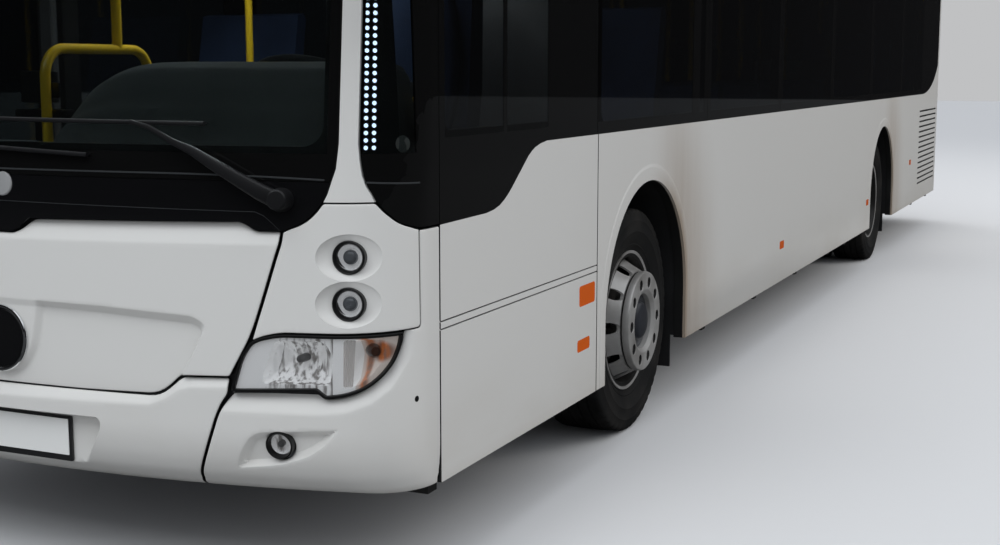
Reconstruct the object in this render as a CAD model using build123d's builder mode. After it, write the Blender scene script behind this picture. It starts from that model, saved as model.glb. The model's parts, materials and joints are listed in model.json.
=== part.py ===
from build123d import *
import math
import os

os.makedirs("parts", exist_ok=True)

# A twelve metre low-entry city bus. X points forward, Y to the left, Z up, in millimetres.
# The origin is on the ground, halfway along the whole length and on the centre plane.

# Overall sizes
body_width = 2550
front_overhang = 2450
wheelbase = 6000
rear_overhang = 3350
mirror_reach = 180
skirt_height = 312
cantrail_height = 2640
wall = 55
panel_gap = 4

# Where the main stations lie along the bus
overall_length = front_overhang + wheelbase + rear_overhang + mirror_reach
front_axle_x = overall_length / 2 - mirror_reach - front_overhang
rear_axle_x = front_axle_x - wheelbase
nose_x = front_axle_x + front_overhang
tail_x = rear_axle_x - rear_overhang
half_width = body_width / 2

# Front end: plan curve and how far the nose lies behind the foremost point at each height
nose_radius = 4200
front_panel_depth = 470
front_shell = 30
nose_profile = [  # height, setback, tuck of the side, corner radius
    (312, 130, 10, 185),
    (345, 66, 5, 225),
    (400, 22, 0, 250),
    (480, 0, 0, 262),
    (640, 0, 0, 262),
    (1175, 24, 0, 262),
    (1900, 85, 0, 240),
    (2640, 150, 0, 160),
]
front_seam_x = nose_x - front_panel_depth

# Rear end
rear_corner_radius = 130
rear_depth = 190
rear_seam_x = tail_x + rear_depth

# Wheels and axles
tyre_radius = 479
tyre_width = 276
rim_radius = 298.5
rim_seat_radius = 286
rim_half_width = 108
wheel_centre_y = 1070
twin_spacing = 316
kingpin_y = 960
arch_radius = 540
arch_centre_z = 540
wheel_house_inner_y = 590
liner = 15
axle_tube_radius = 75
axle_travel = 60
rail_y = 420
rail_width = 70
rail_low = 250
rail_top = 320
running = 0.3

# Windows
waist_height = 1300
driver_waist_height = 1092
window_top = 2350
glass = 8

# Doors
door_width = 1250
front_door_width = 1200
sill_height = 372
door_top = 2412
post_inset = 36
post_radius = 22
post_gap = 8
leaf_thickness = 35
leaf_recess = 10
leaf_meeting_gap = 4
arm_thickness = 10
arm_gap = 6
arm_width = 40
pivot_radius = 8
pivot_clearance = 0.3

# Floor
floor_top = 370
floor_thickness = 50
rear_floor_top = 620
floor_half_width = half_width - wall
floor_front_x = front_seam_x + 10
step_x = rear_axle_x + 940
engine_wall_x = tail_x + 1180
engine_deck_top = 1250
deck_back_x = tail_x + rear_corner_radius + 5


def interpolate(z, column):
    """The value of one column of nose_profile at height z."""
    rows = nose_profile
    for low, high in zip(rows, rows[1:]):
        if z <= high[0]:
            share = (z - low[0]) / (high[0] - low[0])
            return low[column] + share * (high[column] - low[column])
    return rows[-1][column]


def nose_section(z, inset=0.0, back=front_seam_x):
    """Plan of the front end at one height: two sides, two corner arcs and the wide nose arc."""
    tip = nose_x - interpolate(z, 1) - inset
    side = half_width - interpolate(z, 2) - inset
    corner = interpolate(z, 3) - inset
    wide = nose_radius - inset
    angle = math.asin((side - corner) / (wide - corner))
    corner_x = tip - wide + (wide - corner) * math.cos(angle)
    join = (tip - wide + wide * math.cos(angle), wide * math.sin(angle))
    middle = (corner_x + corner * math.cos(angle / 2 + math.pi / 4),
              side - corner + corner * math.sin(angle / 2 + math.pi / 4))
    with BuildSketch(Plane.XY.offset(z)) as plan:
        with BuildLine():
            Line((back, -side), (corner_x, -side))
            ThreePointArc((corner_x, -side), (middle[0], -middle[1]), (join[0], -join[1]))
            ThreePointArc((join[0], -join[1]), (tip, 0), join)
            ThreePointArc(join, middle, (corner_x, side))
            Line((corner_x, side), (back, side))
            Line((back, side), (back, -side))
        make_face()
    return plan.sketch.faces()[0]


def nose_heights(low, high):
    """The heights of the sections that a piece from low to high is drawn through."""
    return [low] + [row[0] for row in nose_profile if low < row[0] < high] + [high]


def nose_solid(low, high, inset, back=front_seam_x):
    """The whole front end between two heights, drawn in by inset."""
    sections = [nose_section(z, inset, back) for z in nose_heights(low, high)]
    with BuildPart() as solid:
        for below, above in zip(sections, sections[1:]):
            loft([below, above], ruled=True)
    return solid.part


def nose_shell(low, high, outer_inset, inner_inset):
    """A wall that follows the front end between two heights and two insets."""
    with BuildPart() as shell:
        add(nose_solid(low, high, outer_inset))
        add(nose_solid(low, high, inner_inset, front_seam_x - 1), mode=Mode.SUBTRACT)
    return shell.part


def front_region(outline, far_x=nose_x + 50, near_x=front_seam_x - 200, shrink=0.0):
    """A block whose outline, seen from the front, is a list of (y, z) points, drawn in by shrink."""
    with BuildPart() as block:
        with BuildSketch(Plane.YZ.offset(near_x)):
            with BuildLine():
                Polyline(*outline, close=True)
            make_face()
            if shrink:
                offset(amount=-shrink, kind=Kind.INTERSECTION, mode=Mode.REPLACE)
        extrude(amount=far_x - near_x)
    return block.part


def both_sides(points):
    """A closed outline from the half that lies at positive y, mirrored about the centre plane."""
    return points + [(-y, z) for y, z in reversed(points) if y > 0]


def save(piece, name):
    piece.part.label = name
    export_step(piece.part, "parts/" + name + ".step")


# Front end panels: outlines seen from the front, as (y, z), taken on the left half
flap_half = [(0, 1060), (75, 1060), (103, 1073), (137, 1102), (824, 1115), (845, 1105), (872, 1090), (942, 1090),
             (943, 1060), (929, 1017), (915, 969), (892, 892), (871, 825), (853, 779), (797, 676), (640, 670),
             (570, 606), (0, 602)]
bumper_half = [(0, 594), (575, 597), (646, 657), (794, 661), (797, 628), (775, 598), (756, 558), (736, 498),
               (709, 433), (658, 345), (640, 300), (0, 300)]
bumper_end = [(801, 622), (779, 594), (760, 556), (740, 498), (713, 433), (662, 345), (644, 300), (1290, 300),
              (1290, 806), (1256, 806), (1253, 765), (1243, 719), (1221, 676), (1182, 640), (1132, 621), (1075, 614),
              (1060, 625), (1049, 635)]
corner_strip = [(1200, 660), (1290, 660), (1290, 1088), (1200, 1088)]
lamp_panel_outline = [(955, 1090), (976, 1100), (1004, 1110), (1031, 1128), (1052, 1150), (1068, 1172), (1196, 1172),
                      (1214, 1145), (1240, 1112), (1270, 1092), (1290, 1092), (1290, 809), (948, 807), (896, 795),
                      (866, 782), (879, 825), (900, 892), (923, 969), (937, 1017), (951, 1060)]
headlamp_outline = [(805, 628), (1050, 640), (1061, 630), (1075, 619), (1131, 626), (1179, 644), (1217, 680),
                    (1238, 722), (1248, 765), (1251, 804), (948, 803), (896, 791), (864, 776), (836, 731)]
lamp_panel_back_x = nose_x - 353
round_lamp_y = 1136
round_lamp_heights = [1026, 894]
round_lamp_radius = 52
fog_lamp_y = 937
fog_lamp_z = 475
fog_lamp_radius = 44
plate_outline = [(-372, 530), (372, 530), (382, 513), (377, 485), (277, 343), (-277, 343), (-377, 485), (-382, 513)]
plate_wall_x = nose_x - 58
plate_wall = 12
plate_hole_spacing = 270
plate_hole_z = 490
plate_hole_radius = 3

skin = nose_shell(skirt_height, cantrail_height, 0, front_shell)
bumper_block = front_region(both_sides(bumper_half))
bumper_end_block = front_region(bumper_end)
strip_block = front_region(corner_strip, far_x=lamp_panel_back_x - panel_gap)
flap_block = front_region(both_sides(flap_half))
lamp_panel_block = front_region(lamp_panel_outline, near_x=lamp_panel_back_x)
headlamp_block = front_region(headlamp_outline)
lens_shell = nose_shell(600, 820, 2, 8)
housing_block = front_region(headlamp_outline, near_x=nose_x - 330)
housing_hollow = front_region(headlamp_outline, near_x=nose_x - 322, shrink=6)

plate_pocket = front_region(plate_outline, near_x=plate_wall_x)
plate_box = front_region(plate_outline, near_x=plate_wall_x - plate_wall, shrink=-plate_wall)
with BuildPart() as plate_holder:
    add(nose_solid(skirt_height, 600, 0))
    add(plate_box, mode=Mode.INTERSECT)
with BuildPart() as front_bumper:
    add(skin)
    add(bumper_block, mode=Mode.INTERSECT)
    add(plate_holder.part)
    add(plate_pocket, mode=Mode.SUBTRACT)
    with BuildSketch(Plane.YZ.offset(plate_wall_x - 30)):
        with Locations((plate_hole_spacing / 2, plate_hole_z), (-plate_hole_spacing / 2, plate_hole_z)):
            Circle(plate_hole_radius)
    extrude(amount=60, mode=Mode.SUBTRACT)
save(front_bumper, "front_bumper")

with BuildPart() as strip_left:
    add(skin)
    add(strip_block, mode=Mode.INTERSECT)
with BuildPart() as corner_left:
    add(skin)
    add(bumper_end_block, mode=Mode.INTERSECT)
    add(strip_left.part)
    with BuildSketch(Plane.YZ.offset(front_seam_x)):
        with Locations((fog_lamp_y, fog_lamp_z)):
            Circle(fog_lamp_radius)
    extrude(amount=600, mode=Mode.SUBTRACT)
with BuildPart() as bumper_corners:
    add(corner_left.part)
    mirror(about=Plane.XZ)
save(bumper_corners, "bumper_corners")

with BuildPart() as lamp_panel_left:
    add(skin)
    add(lamp_panel_block, mode=Mode.INTERSECT)
    with BuildSketch(Plane.YZ.offset(front_seam_x)):
        for lamp_z in round_lamp_heights:
            with Locations((round_lamp_y, lamp_z)):
                Circle(round_lamp_radius - 9)
    extrude(amount=600, mode=Mode.SUBTRACT)
with BuildPart() as lamp_panels:
    add(lamp_panel_left.part)
    mirror(about=Plane.XZ)
save(lamp_panels, "lamp_panels")

flap_skin = nose_shell(590, 1130, 0, front_shell - running)
with BuildPart() as front_flap:
    add(flap_skin)
    add(flap_block, mode=Mode.INTERSECT)
save(front_flap, "front_flap")

with BuildPart() as headlamp_lens_left:
    add(lens_shell)
    add(headlamp_block, mode=Mode.INTERSECT)
with BuildPart() as headlamp_lenses:
    add(headlamp_lens_left.part)
    mirror(about=Plane.XZ)
save(headlamp_lenses, "headlamp_lenses")
print("front panels done")

# Windscreen band: cowl, windscreen, corner glass and the light pillars between them, as (y, z) outlines
glass_high = 2630
cowl_half = [(0, 1065), (73, 1065), (99, 1078), (135, 1107), (824, 1120), (848, 1110), (875, 1095), (949, 1095),
             (975, 1105), (1002, 1115), (1028, 1133), (1049, 1155), (1065, 1177), (1076, 1200), (1085, 1232), (0, 1232)]
windscreen_half = [(0, 1236), (1087, 1236), (1096, 1270), (1103, 1320), (1104, 2630), (0, 2630)]
pillar_outline = [(1069, 1177), (1193, 1177), (1184, 1200), (1174, 1220), (1164, 1252), (1158, 1294), (1154, 1340),
                  (1154, 2630), (1108, 2630), (1107, 1340), (1101, 1270), (1090, 1234), (1080, 1200)]
corner_glass_outline = [(1158, 2630), (1158, 1340), (1162, 1294), (1168, 1252), (1178, 1222), (1190, 1198),
                        (1203, 1172), (1218, 1148), (1242, 1116), (1272, 1096), (1290, 1096), (1290, 2630)]
opening_low = 1330
opening_high = 2560
opening_half_width = 1060
frame_depth = 40
carrier_depth = 14
carrier_hole_low = 625
carrier_hole_high = 1030
carrier_hole_half_width = 770
housing_right = mirror(housing_block, about=Plane.XZ, mode=Mode.PRIVATE)

outer_glass = nose_shell(1060, glass_high, 0, glass)
frame_shell = nose_shell(1176, cantrail_height, glass + 1, glass + 1 + frame_depth)
cowl_block = front_region(both_sides(cowl_half))
windscreen_block = front_region(both_sides(windscreen_half))
pillar_block = front_region(pillar_outline)
corner_glass_block = front_region(corner_glass_outline)

with BuildPart() as cowl:
    add(outer_glass)
    add(cowl_block, mode=Mode.INTERSECT)
save(cowl, "cowl")

with BuildPart() as pillar_left:
    add(outer_glass)
    add(pillar_block, mode=Mode.INTERSECT)
with BuildPart() as front_pillars:
    add(pillar_left.part)
    mirror(about=Plane.XZ)
save(front_pillars, "front_pillars")

with BuildPart() as screen:
    add(outer_glass)
    add(windscreen_block, mode=Mode.INTERSECT)
with BuildPart() as corner_glass_left:
    add(outer_glass)
    add(corner_glass_block, mode=Mode.INTERSECT)
with BuildPart() as windscreen:
    add(corner_glass_left.part)
    mirror(about=Plane.XZ)
    add(screen.part)
save(windscreen, "windscreen")

carrier_shell = nose_shell(skirt_height, 1176, front_shell, front_shell + carrier_depth)
with BuildPart() as front_frame:
    add(carrier_shell)
    with BuildSketch(Plane.YZ.offset(front_seam_x)):
        with Locations((0, (carrier_hole_low + carrier_hole_high) / 2)):
            Rectangle(2 * carrier_hole_half_width, carrier_hole_high - carrier_hole_low)
        with Locations((0, 440)):
            Rectangle(840, 236)
        for side in (1, -1):
            for lamp_z in round_lamp_heights:
                with Locations((side * round_lamp_y, lamp_z)):
                    Circle(round_lamp_radius - 9)
            with Locations((side * fog_lamp_y, fog_lamp_z)):
                Circle(fog_lamp_radius)
    extrude(amount=600, mode=Mode.SUBTRACT)
    add(housing_block, mode=Mode.SUBTRACT)
    add(housing_right, mode=Mode.SUBTRACT)
    add(frame_shell)
    with BuildSketch(Plane.YZ.offset(front_seam_x + 100)):
        with Locations((0, (opening_low + opening_high) / 2)):
            RectangleRounded(2 * opening_half_width, opening_high - opening_low, 60)
    extrude(amount=700, mode=Mode.SUBTRACT)
    with BuildSketch(Plane.XZ.offset(-half_width - 10)):
        with Locations((front_seam_x + 90, (1250 + window_top) / 2)):
            Rectangle(150, window_top - 1250)
    extrude(amount=body_width + 20, mode=Mode.SUBTRACT)
save(front_frame, "front_frame")


# Side walls
driver_step_rows = [  # x, share of the rise behind the driver
    (5010, 0.02), (4950, 0.05), (4905, 0.10), (4870, 0.17), (4838, 0.25), (4810, 0.335), (4675, 0.785), (4645, 0.86),
    (4612, 0.92), (4570, 0.965), (4510, 1.0),
]
rear_step_rows = [  # distance ahead of the rear end, share of the rise to it
    (1040, 0.0), (880, 0.015), (720, 0.065), (560, 0.155), (400, 0.29), (250, 0.47), (110, 0.74), (0, 1.0),
]
rear_step_rise = 270


def side_window_edge(low_front, low_back, top, front, back):
    """The black glass band of a side, its lower edge rising behind the driver and at the rear."""
    steps = [(x, low_front + (low_back - low_front) * share) for x, share in driver_step_rows]
    rises = [(back + ahead, low_back + rear_step_rise * share) for ahead, share in rear_step_rows]
    return [(front, low_front)] + steps + rises + [(back, top), (front, top)]


band_back_x = tail_x + 150
pane_joints = [front_seam_x, 4010, 2520, 1030, -460, -1950, -3440, -4700, band_back_x]
window_inset = 45
marker_depth = 9
marker_rows_left = [  # x from the front axle, height, length, tall
    (745, 706, 165, 78),
    (780, 520, 130, 46),
    (-2470, 525, 110, 46),
    (-5330, 525, 110, 46),
    (-7500, 700, 110, 46),
]
marker_rows_right = [
    (615, 706, 110, 96),
    (-2330, 525, 110, 46),
    (-5330, 525, 110, 46),
    (-7500, 700, 110, 46),
]
louvre_front_x = rear_axle_x - 2000
louvre_back_x = rear_seam_x + 20
louvre_rows = 15
louvre_pitch = 48
louvre_depth = 12
side_low = skirt_height
wall_top = cantrail_height
wall_front_x = front_seam_x - panel_gap
door_portals = [  # name, front edge x, back edge x
    ("front_door", front_axle_x + 690 + front_door_width, front_axle_x + 690),
    ("middle_door", front_axle_x - 2500, front_axle_x - 2500 - door_width),
]
panel_seam_x = front_axle_x + 640
panel_groove_heights = [779, 803]
groove = 5


def wall_blank(side_y, inward, marker_rows):
    """One side wall with its wheel arches, before its windows and doors are cut."""
    with BuildPart() as blank:
        with BuildSketch(Plane.XZ.offset(-side_y)):
            with BuildLine():
                Polyline((rear_seam_x, side_low), (wall_front_x, side_low), (wall_front_x, wall_top),
                         (rear_seam_x, wall_top), close=True)
            make_face()
            for axle_x in (front_axle_x, rear_axle_x):
                with Locations((axle_x, arch_centre_z)):
                    Circle(arch_radius, mode=Mode.SUBTRACT)
                with Locations((axle_x, arch_centre_z / 2)):
                    Rectangle(2 * arch_radius, arch_centre_z, mode=Mode.SUBTRACT)
        extrude(amount=inward * wall)
        with BuildSketch(Plane.XZ.offset(-side_y)):
            for offset_x, z, length, tall in marker_rows:
                with Locations((front_axle_x + offset_x, z)):
                    RectangleRounded(length, tall, 12)
        extrude(amount=inward * marker_depth, mode=Mode.SUBTRACT)
    return blank.part


band_outline = side_window_edge(driver_waist_height, waist_height, window_top, wall_front_x, rear_seam_x + 4)
left_blank = wall_blank(half_width, 1, marker_rows_left)
right_blank = wall_blank(-half_width, -1, marker_rows_right)

with BuildPart() as left_wall:
    add(left_blank)
    with BuildSketch(Plane.XZ.offset(-half_width)):
        with BuildLine():
            Polyline(*band_outline, close=True)
        make_face()
    extrude(amount=glass, mode=Mode.SUBTRACT)
    with BuildSketch(Plane.XZ.offset(-half_width)):
        for front, back in zip(pane_joints[:-2], pane_joints[1:-1]):
            low = waist_height if front < 4500 else waist_height + 20
            with Locations(((front + back) / 2, (low + window_top) / 2)):
                RectangleRounded(front - back - 2 * window_inset, window_top - low - 2 * window_inset, 40)
    extrude(amount=wall, mode=Mode.SUBTRACT)
    with BuildSketch(Plane.XZ.offset(-half_width)):
        with Locations((panel_seam_x, (side_low + waist_height) / 2)):
            Rectangle(panel_gap, waist_height - side_low)
        for z in panel_groove_heights:
            with Locations(((wall_front_x + panel_seam_x) / 2, z)):
                Rectangle(wall_front_x - panel_seam_x, groove)
    extrude(amount=groove, mode=Mode.SUBTRACT)
    with BuildSketch(Plane.XZ.offset(-half_width)):
        for row in range(louvre_rows):
            with Locations(((louvre_front_x + louvre_back_x) / 2, 470 + row * louvre_pitch)):
                Rectangle(louvre_front_x - louvre_back_x, 16)
    extrude(amount=louvre_depth, mode=Mode.SUBTRACT)
save(left_wall, "left_wall")

with BuildPart() as left_panes:
    with BuildSketch(Plane.XZ.offset(-half_width)):
        with BuildLine():
            Polyline(*band_outline, close=True)
        make_face()
        for x in pane_joints[1:-1]:
            with Locations((x, (waist_height + window_top) / 2)):
                Rectangle(panel_gap, window_top - waist_height + 600, mode=Mode.SUBTRACT)
    extrude(amount=glass)

rise_rows = [(rear_seam_x + 4 + ahead, waist_height + rear_step_rise * share) for ahead, share in rear_step_rows]
right_band = [(wall_front_x, waist_height)] + rise_rows + [(rear_seam_x + 4, window_top), (wall_front_x, window_top)]
right_panes = [(3990, 2720), (2700, 900 + 20), (-430, -1950), (-1950, -3440), (-3440, -4700)]
with BuildPart() as right_wall:
    add(right_blank)
    with BuildSketch(Plane.XZ.offset(half_width)):
        with BuildLine():
            Polyline(*right_band, close=True)
        make_face()
    extrude(amount=-glass, mode=Mode.SUBTRACT)
    with BuildSketch(Plane.XZ.offset(half_width)):
        for front, back in right_panes:
            with Locations(((front + back) / 2, (waist_height + window_top) / 2)):
                RectangleRounded(front - back - 2 * window_inset, window_top - waist_height - 2 * window_inset, 40)
        for name, front, back in door_portals:
            with Locations(((front + back) / 2, (sill_height + door_top) / 2)):
                Rectangle(front - back, door_top - sill_height)
    extrude(amount=-wall, mode=Mode.SUBTRACT)
save(right_wall, "right_wall")

with BuildPart() as side_windows:
    with BuildSketch(Plane.XZ.offset(half_width)):
        with BuildLine():
            Polyline(*right_band, close=True)
        make_face()
        for x in (2710, -1950, -3440, -4700):
            with Locations((x, (waist_height + window_top) / 2)):
                Rectangle(panel_gap, window_top - waist_height + 600, mode=Mode.SUBTRACT)
        for name, front, back in door_portals:
            with Locations(((front + back) / 2, (sill_height + door_top) / 2)):
                Rectangle(front - back, door_top - sill_height, mode=Mode.SUBTRACT)
    extrude(amount=-glass)
    add(left_panes.part)
save(side_windows, "side_windows")
print("walls done")


# Roof, drawn through whole plan outlines that shrink towards the top
cove_rise = 255
cove_inset = 220
crown_rise = 305
crown_inset = 640
cove_steps = 6
cove_turns = [math.pi / 2 * step / cove_steps for step in range(cove_steps)]
roof_rows = [(cove_rise * math.sin(turn), cove_inset * (1 - math.cos(turn))) for turn in cove_turns]  # rise, inset
roof_rows += [(cove_rise + 18, cove_inset + 60), (crown_rise, crown_inset)]


def whole_plan(z, side_inset, end_inset, shrink=0.0):
    """Plan outline of the whole body at roof height, with arcs at its four corners."""
    tip = nose_x - interpolate(cantrail_height, 1) - end_inset - shrink
    side = half_width - side_inset - shrink
    corner = interpolate(cantrail_height, 3) + 0.2 * side_inset - shrink
    wide = nose_radius - shrink
    angle = math.asin((side - corner) / (wide - corner))
    corner_x = tip - wide + (wide - corner) * math.cos(angle)
    join = (tip - wide + wide * math.cos(angle), wide * math.sin(angle))
    middle = (corner_x + corner * math.cos(angle / 2 + math.pi / 4),
              side - corner + corner * math.sin(angle / 2 + math.pi / 4))
    back = tail_x + end_inset + shrink
    rear = rear_corner_radius + 0.2 * side_inset - shrink
    slant = rear * math.sqrt(0.5)
    with BuildSketch(Plane.XY.offset(z)) as plan:
        with BuildLine():
            Line((back + rear, -side), (corner_x, -side))
            ThreePointArc((corner_x, -side), (middle[0], -middle[1]), (join[0], -join[1]))
            ThreePointArc((join[0], -join[1]), (tip, 0), join)
            ThreePointArc(join, middle, (corner_x, side))
            Line((corner_x, side), (back + rear, side))
            ThreePointArc((back + rear, side), (back + rear - slant, side - rear + slant), (back, side - rear))
            Line((back, side - rear), (back, -side + rear))
            ThreePointArc((back, -side + rear), (back + rear - slant, -side + rear - slant), (back + rear, -side))
        make_face()
    return plan.sketch.faces()[0]


roof_base = cantrail_height
roof_wall = 50
hatch_length = 900
hatch_width = 620
hatch_places = [2600, -1400]
roof_outer = [whole_plan(roof_base + rise, inset, inset) for rise, inset in roof_rows]
roof_inner = [whole_plan(roof_base + rise * 0.84 - (0 if rise else 1), inset, inset, roof_wall)
              for rise, inset in roof_rows]
with BuildPart() as roof:
    for below, above in zip(roof_outer, roof_outer[1:]):
        loft([below, above], ruled=True)
    for below, above in zip(roof_inner, roof_inner[1:]):
        loft([below, above], ruled=True, mode=Mode.SUBTRACT)
    with BuildSketch(Plane.XY.offset(roof_base + 200)):
        with Locations(*[(x, 0) for x in hatch_places]):
            Rectangle(hatch_length, hatch_width)
    extrude(amount=300, mode=Mode.SUBTRACT)
save(roof, "roof")
roof_top = roof_base + crown_rise

with BuildPart() as roof_hatches:
    with BuildSketch(Plane.XY.offset(roof_top - roof_wall)):
        with Locations(*[(x, 0) for x in hatch_places]):
            Rectangle(hatch_length - 20, hatch_width - 20)
    extrude(amount=roof_wall)
    with BuildSketch(Plane.XY.offset(roof_top)):
        with Locations(*[(x, 0) for x in hatch_places]):
            RectangleRounded(hatch_length + 80, hatch_width + 80, 60)
    extrude(amount=35, taper=20)
save(roof_hatches, "roof_hatches")
print("roof done")


# Rear end: a wall that wraps both corners, its bumper, the engine lid and the rear window
def rear_plan(z, inset=0.0):
    """Plan outline of the rear end, open towards the front."""
    back = tail_x + inset
    side = half_width - inset
    corner = rear_corner_radius - inset
    slant = corner * math.sqrt(0.5)
    with BuildSketch(Plane.XY.offset(z)) as plan:
        with BuildLine():
            Line((rear_seam_x, side), (back + corner, side))
            ThreePointArc((back + corner, side), (back + corner - slant, side - corner + slant), (back, side - corner))
            Line((back, side - corner), (back, -side + corner))
            ThreePointArc((back, -side + corner), (back + corner - slant, -side + corner - slant),
                          (back + corner, -side))
            Line((back + corner, -side), (rear_seam_x, -side))
            Line((rear_seam_x, -side), (rear_seam_x, side))
        make_face()
    return plan.sketch


rear_bumper_top = 560
lid_low = 570
lid_high = 1380
lid_half_width = 900
lid_gap = 7
lid_top_gap = 10
lid_hinge_x = tail_x + 12
lid_hinge_z = lid_high - 24
lid_pin_radius = 5
rear_window_low = 1560
rear_window_high = 2330
rear_window_half_width = 1080
rear_lamp_rows = [(640, 55), (780, 55), (920, 55), (2480, 45)]  # height, radius
rear_lamp_y = 1105
rear_outer = rear_plan(rear_bumper_top + panel_gap)
rear_inner = rear_plan(rear_bumper_top + panel_gap, wall)
bumper_outer = rear_plan(skirt_height)
bumper_inner = rear_plan(skirt_height, wall)

with BuildPart() as rear_wall:
    add(rear_outer)
    extrude(amount=cantrail_height - rear_bumper_top - panel_gap)
    add(rear_inner)
    extrude(amount=cantrail_height - rear_bumper_top - panel_gap, mode=Mode.SUBTRACT)
    with BuildSketch(Plane.YZ.offset(tail_x - 1)):
        with Locations((0, (lid_low + lid_high) / 2)):
            Rectangle(2 * lid_half_width, lid_high - lid_low)
        with Locations((0, (rear_window_low + rear_window_high) / 2)):
            RectangleRounded(2 * (rear_window_half_width - 60), rear_window_high - rear_window_low - 120, 50)
    extrude(amount=wall + 2, mode=Mode.SUBTRACT)
    with BuildSketch(Plane.YZ.offset(tail_x)):
        with Locations((0, (rear_window_low + rear_window_high) / 2)):
            Rectangle(2 * rear_window_half_width, rear_window_high - rear_window_low)
    extrude(amount=glass, mode=Mode.SUBTRACT)
    with BuildSketch(Plane.YZ.offset(tail_x)):
        for lamp_z, lamp_radius in rear_lamp_rows:
            with Locations((rear_lamp_y, lamp_z), (-rear_lamp_y, lamp_z)):
                Circle(lamp_radius)
    extrude(amount=30, mode=Mode.SUBTRACT)
    with BuildSketch(Plane.XZ.offset(-lid_half_width - 8)):
        with Locations((lid_hinge_x, lid_hinge_z)):
            Circle(lid_pin_radius + running)
    extrude(amount=2 * lid_half_width + 16, mode=Mode.SUBTRACT)
save(rear_wall, "rear_wall")

with BuildPart() as rear_bumper:
    add(bumper_outer)
    extrude(amount=rear_bumper_top - skirt_height)
    add(bumper_inner)
    extrude(amount=rear_bumper_top - skirt_height, mode=Mode.SUBTRACT)
save(rear_bumper, "rear_bumper")

with BuildPart() as rear_window:
    with BuildSketch(Plane.YZ.offset(tail_x)):
        with Locations((0, (rear_window_low + rear_window_high) / 2)):
            Rectangle(2 * rear_window_half_width - 2, rear_window_high - rear_window_low - 2)
    extrude(amount=glass)
save(rear_window, "rear_window")

lid_thickness = 34
with BuildPart() as engine_lid:
    with BuildSketch(Plane.YZ.offset(tail_x)):
        with Locations((0, (lid_low + lid_gap + lid_high - lid_top_gap) / 2)):
            Rectangle(2 * (lid_half_width - lid_gap), lid_high - lid_low - lid_gap - lid_top_gap)
    extrude(amount=lid_thickness)
    with BuildSketch(Plane.XZ.offset(-lid_half_width - 6)):
        with Locations((lid_hinge_x, lid_hinge_z)):
            Circle(lid_pin_radius)
    extrude(amount=2 * lid_half_width + 12)
    with BuildSketch(Plane.YZ.offset(tail_x)):
        for row in range(9):
            with Locations((-380, lid_low + 130 + row * 55), (380, lid_low + 130 + row * 55)):
                Rectangle(560, 22)
    extrude(amount=lid_thickness, mode=Mode.SUBTRACT)
save(engine_lid, "engine_lid")

with BuildPart() as rear_lamps:
    with BuildSketch(Plane.YZ.offset(tail_x)):
        for lamp_z, lamp_radius in rear_lamp_rows:
            with Locations((rear_lamp_y, lamp_z), (-rear_lamp_y, lamp_z)):
                Circle(lamp_radius - 1)
    extrude(amount=30)
save(rear_lamps, "rear_lamps")

print("rear done")


# Floor with its step up to the rear, cut round the wheel houses, and the frame below it
house_half_length = arch_radius + 5
house_top = arch_centre_z + arch_radius + 5
house_outer_y = half_width - wall - 0.3
mud_flap_low = 170
mud_flap_width = 280
with BuildPart() as house_block:
    with BuildSketch(Plane.XZ.offset(-house_outer_y)):
        for axle_x in (front_axle_x, rear_axle_x):
            with Locations((axle_x, arch_centre_z)):
                Circle(house_half_length + liner)
            with Locations((axle_x, (arch_centre_z + floor_top - floor_thickness) / 2)):
                Rectangle(2 * (house_half_length + liner), arch_centre_z - floor_top + floor_thickness)
    extrude(amount=house_outer_y - wheel_house_inner_y + liner)
with BuildPart() as house_hollow:
    with BuildSketch(Plane.XZ.offset(-house_outer_y - 1)):
        for axle_x in (front_axle_x, rear_axle_x):
            with Locations((axle_x, arch_centre_z)):
                Circle(house_half_length)
            with Locations((axle_x, arch_centre_z / 2)):
                Rectangle(2 * house_half_length, arch_centre_z)
    extrude(amount=house_outer_y + 1 - wheel_house_inner_y)
with BuildPart() as house_left:
    add(house_block.part)
    add(house_hollow.part, mode=Mode.SUBTRACT)
    with BuildSketch(Plane.XY.offset(-100)):
        Rectangle(2 * overall_length, 2 * body_width)
    extrude(amount=100 + floor_top - floor_thickness, mode=Mode.SUBTRACT)
    with BuildSketch(Plane.XY.offset(mud_flap_low)):
        for axle_x in (front_axle_x, rear_axle_x):
            with Locations((axle_x - house_half_length - liner / 2, house_outer_y - mud_flap_width / 2 - 20)):
                Rectangle(liner - 5, mud_flap_width)
    extrude(amount=floor_top - mud_flap_low)
with BuildPart() as wheel_houses:
    add(house_left.part)
    mirror(about=Plane.XZ)
    with BuildSketch(Plane.XZ.offset(-house_outer_y)):
        with Locations((rear_axle_x, tyre_radius)):
            Circle(axle_tube_radius + axle_travel)
    extrude(amount=2 * house_outer_y, mode=Mode.SUBTRACT)
save(wheel_houses, "wheel_houses")

with BuildPart() as all_houses:
    with BuildSketch(Plane.XZ.offset(-half_width)):
        for axle_x in (front_axle_x, rear_axle_x):
            with Locations((axle_x, arch_centre_z)):
                Circle(house_half_length + liner)
            with Locations((axle_x, arch_centre_z / 2)):
                Rectangle(2 * (house_half_length + liner), arch_centre_z)
    extrude(amount=half_width - wheel_house_inner_y + liner)
    mirror(about=Plane.XZ)

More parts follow.
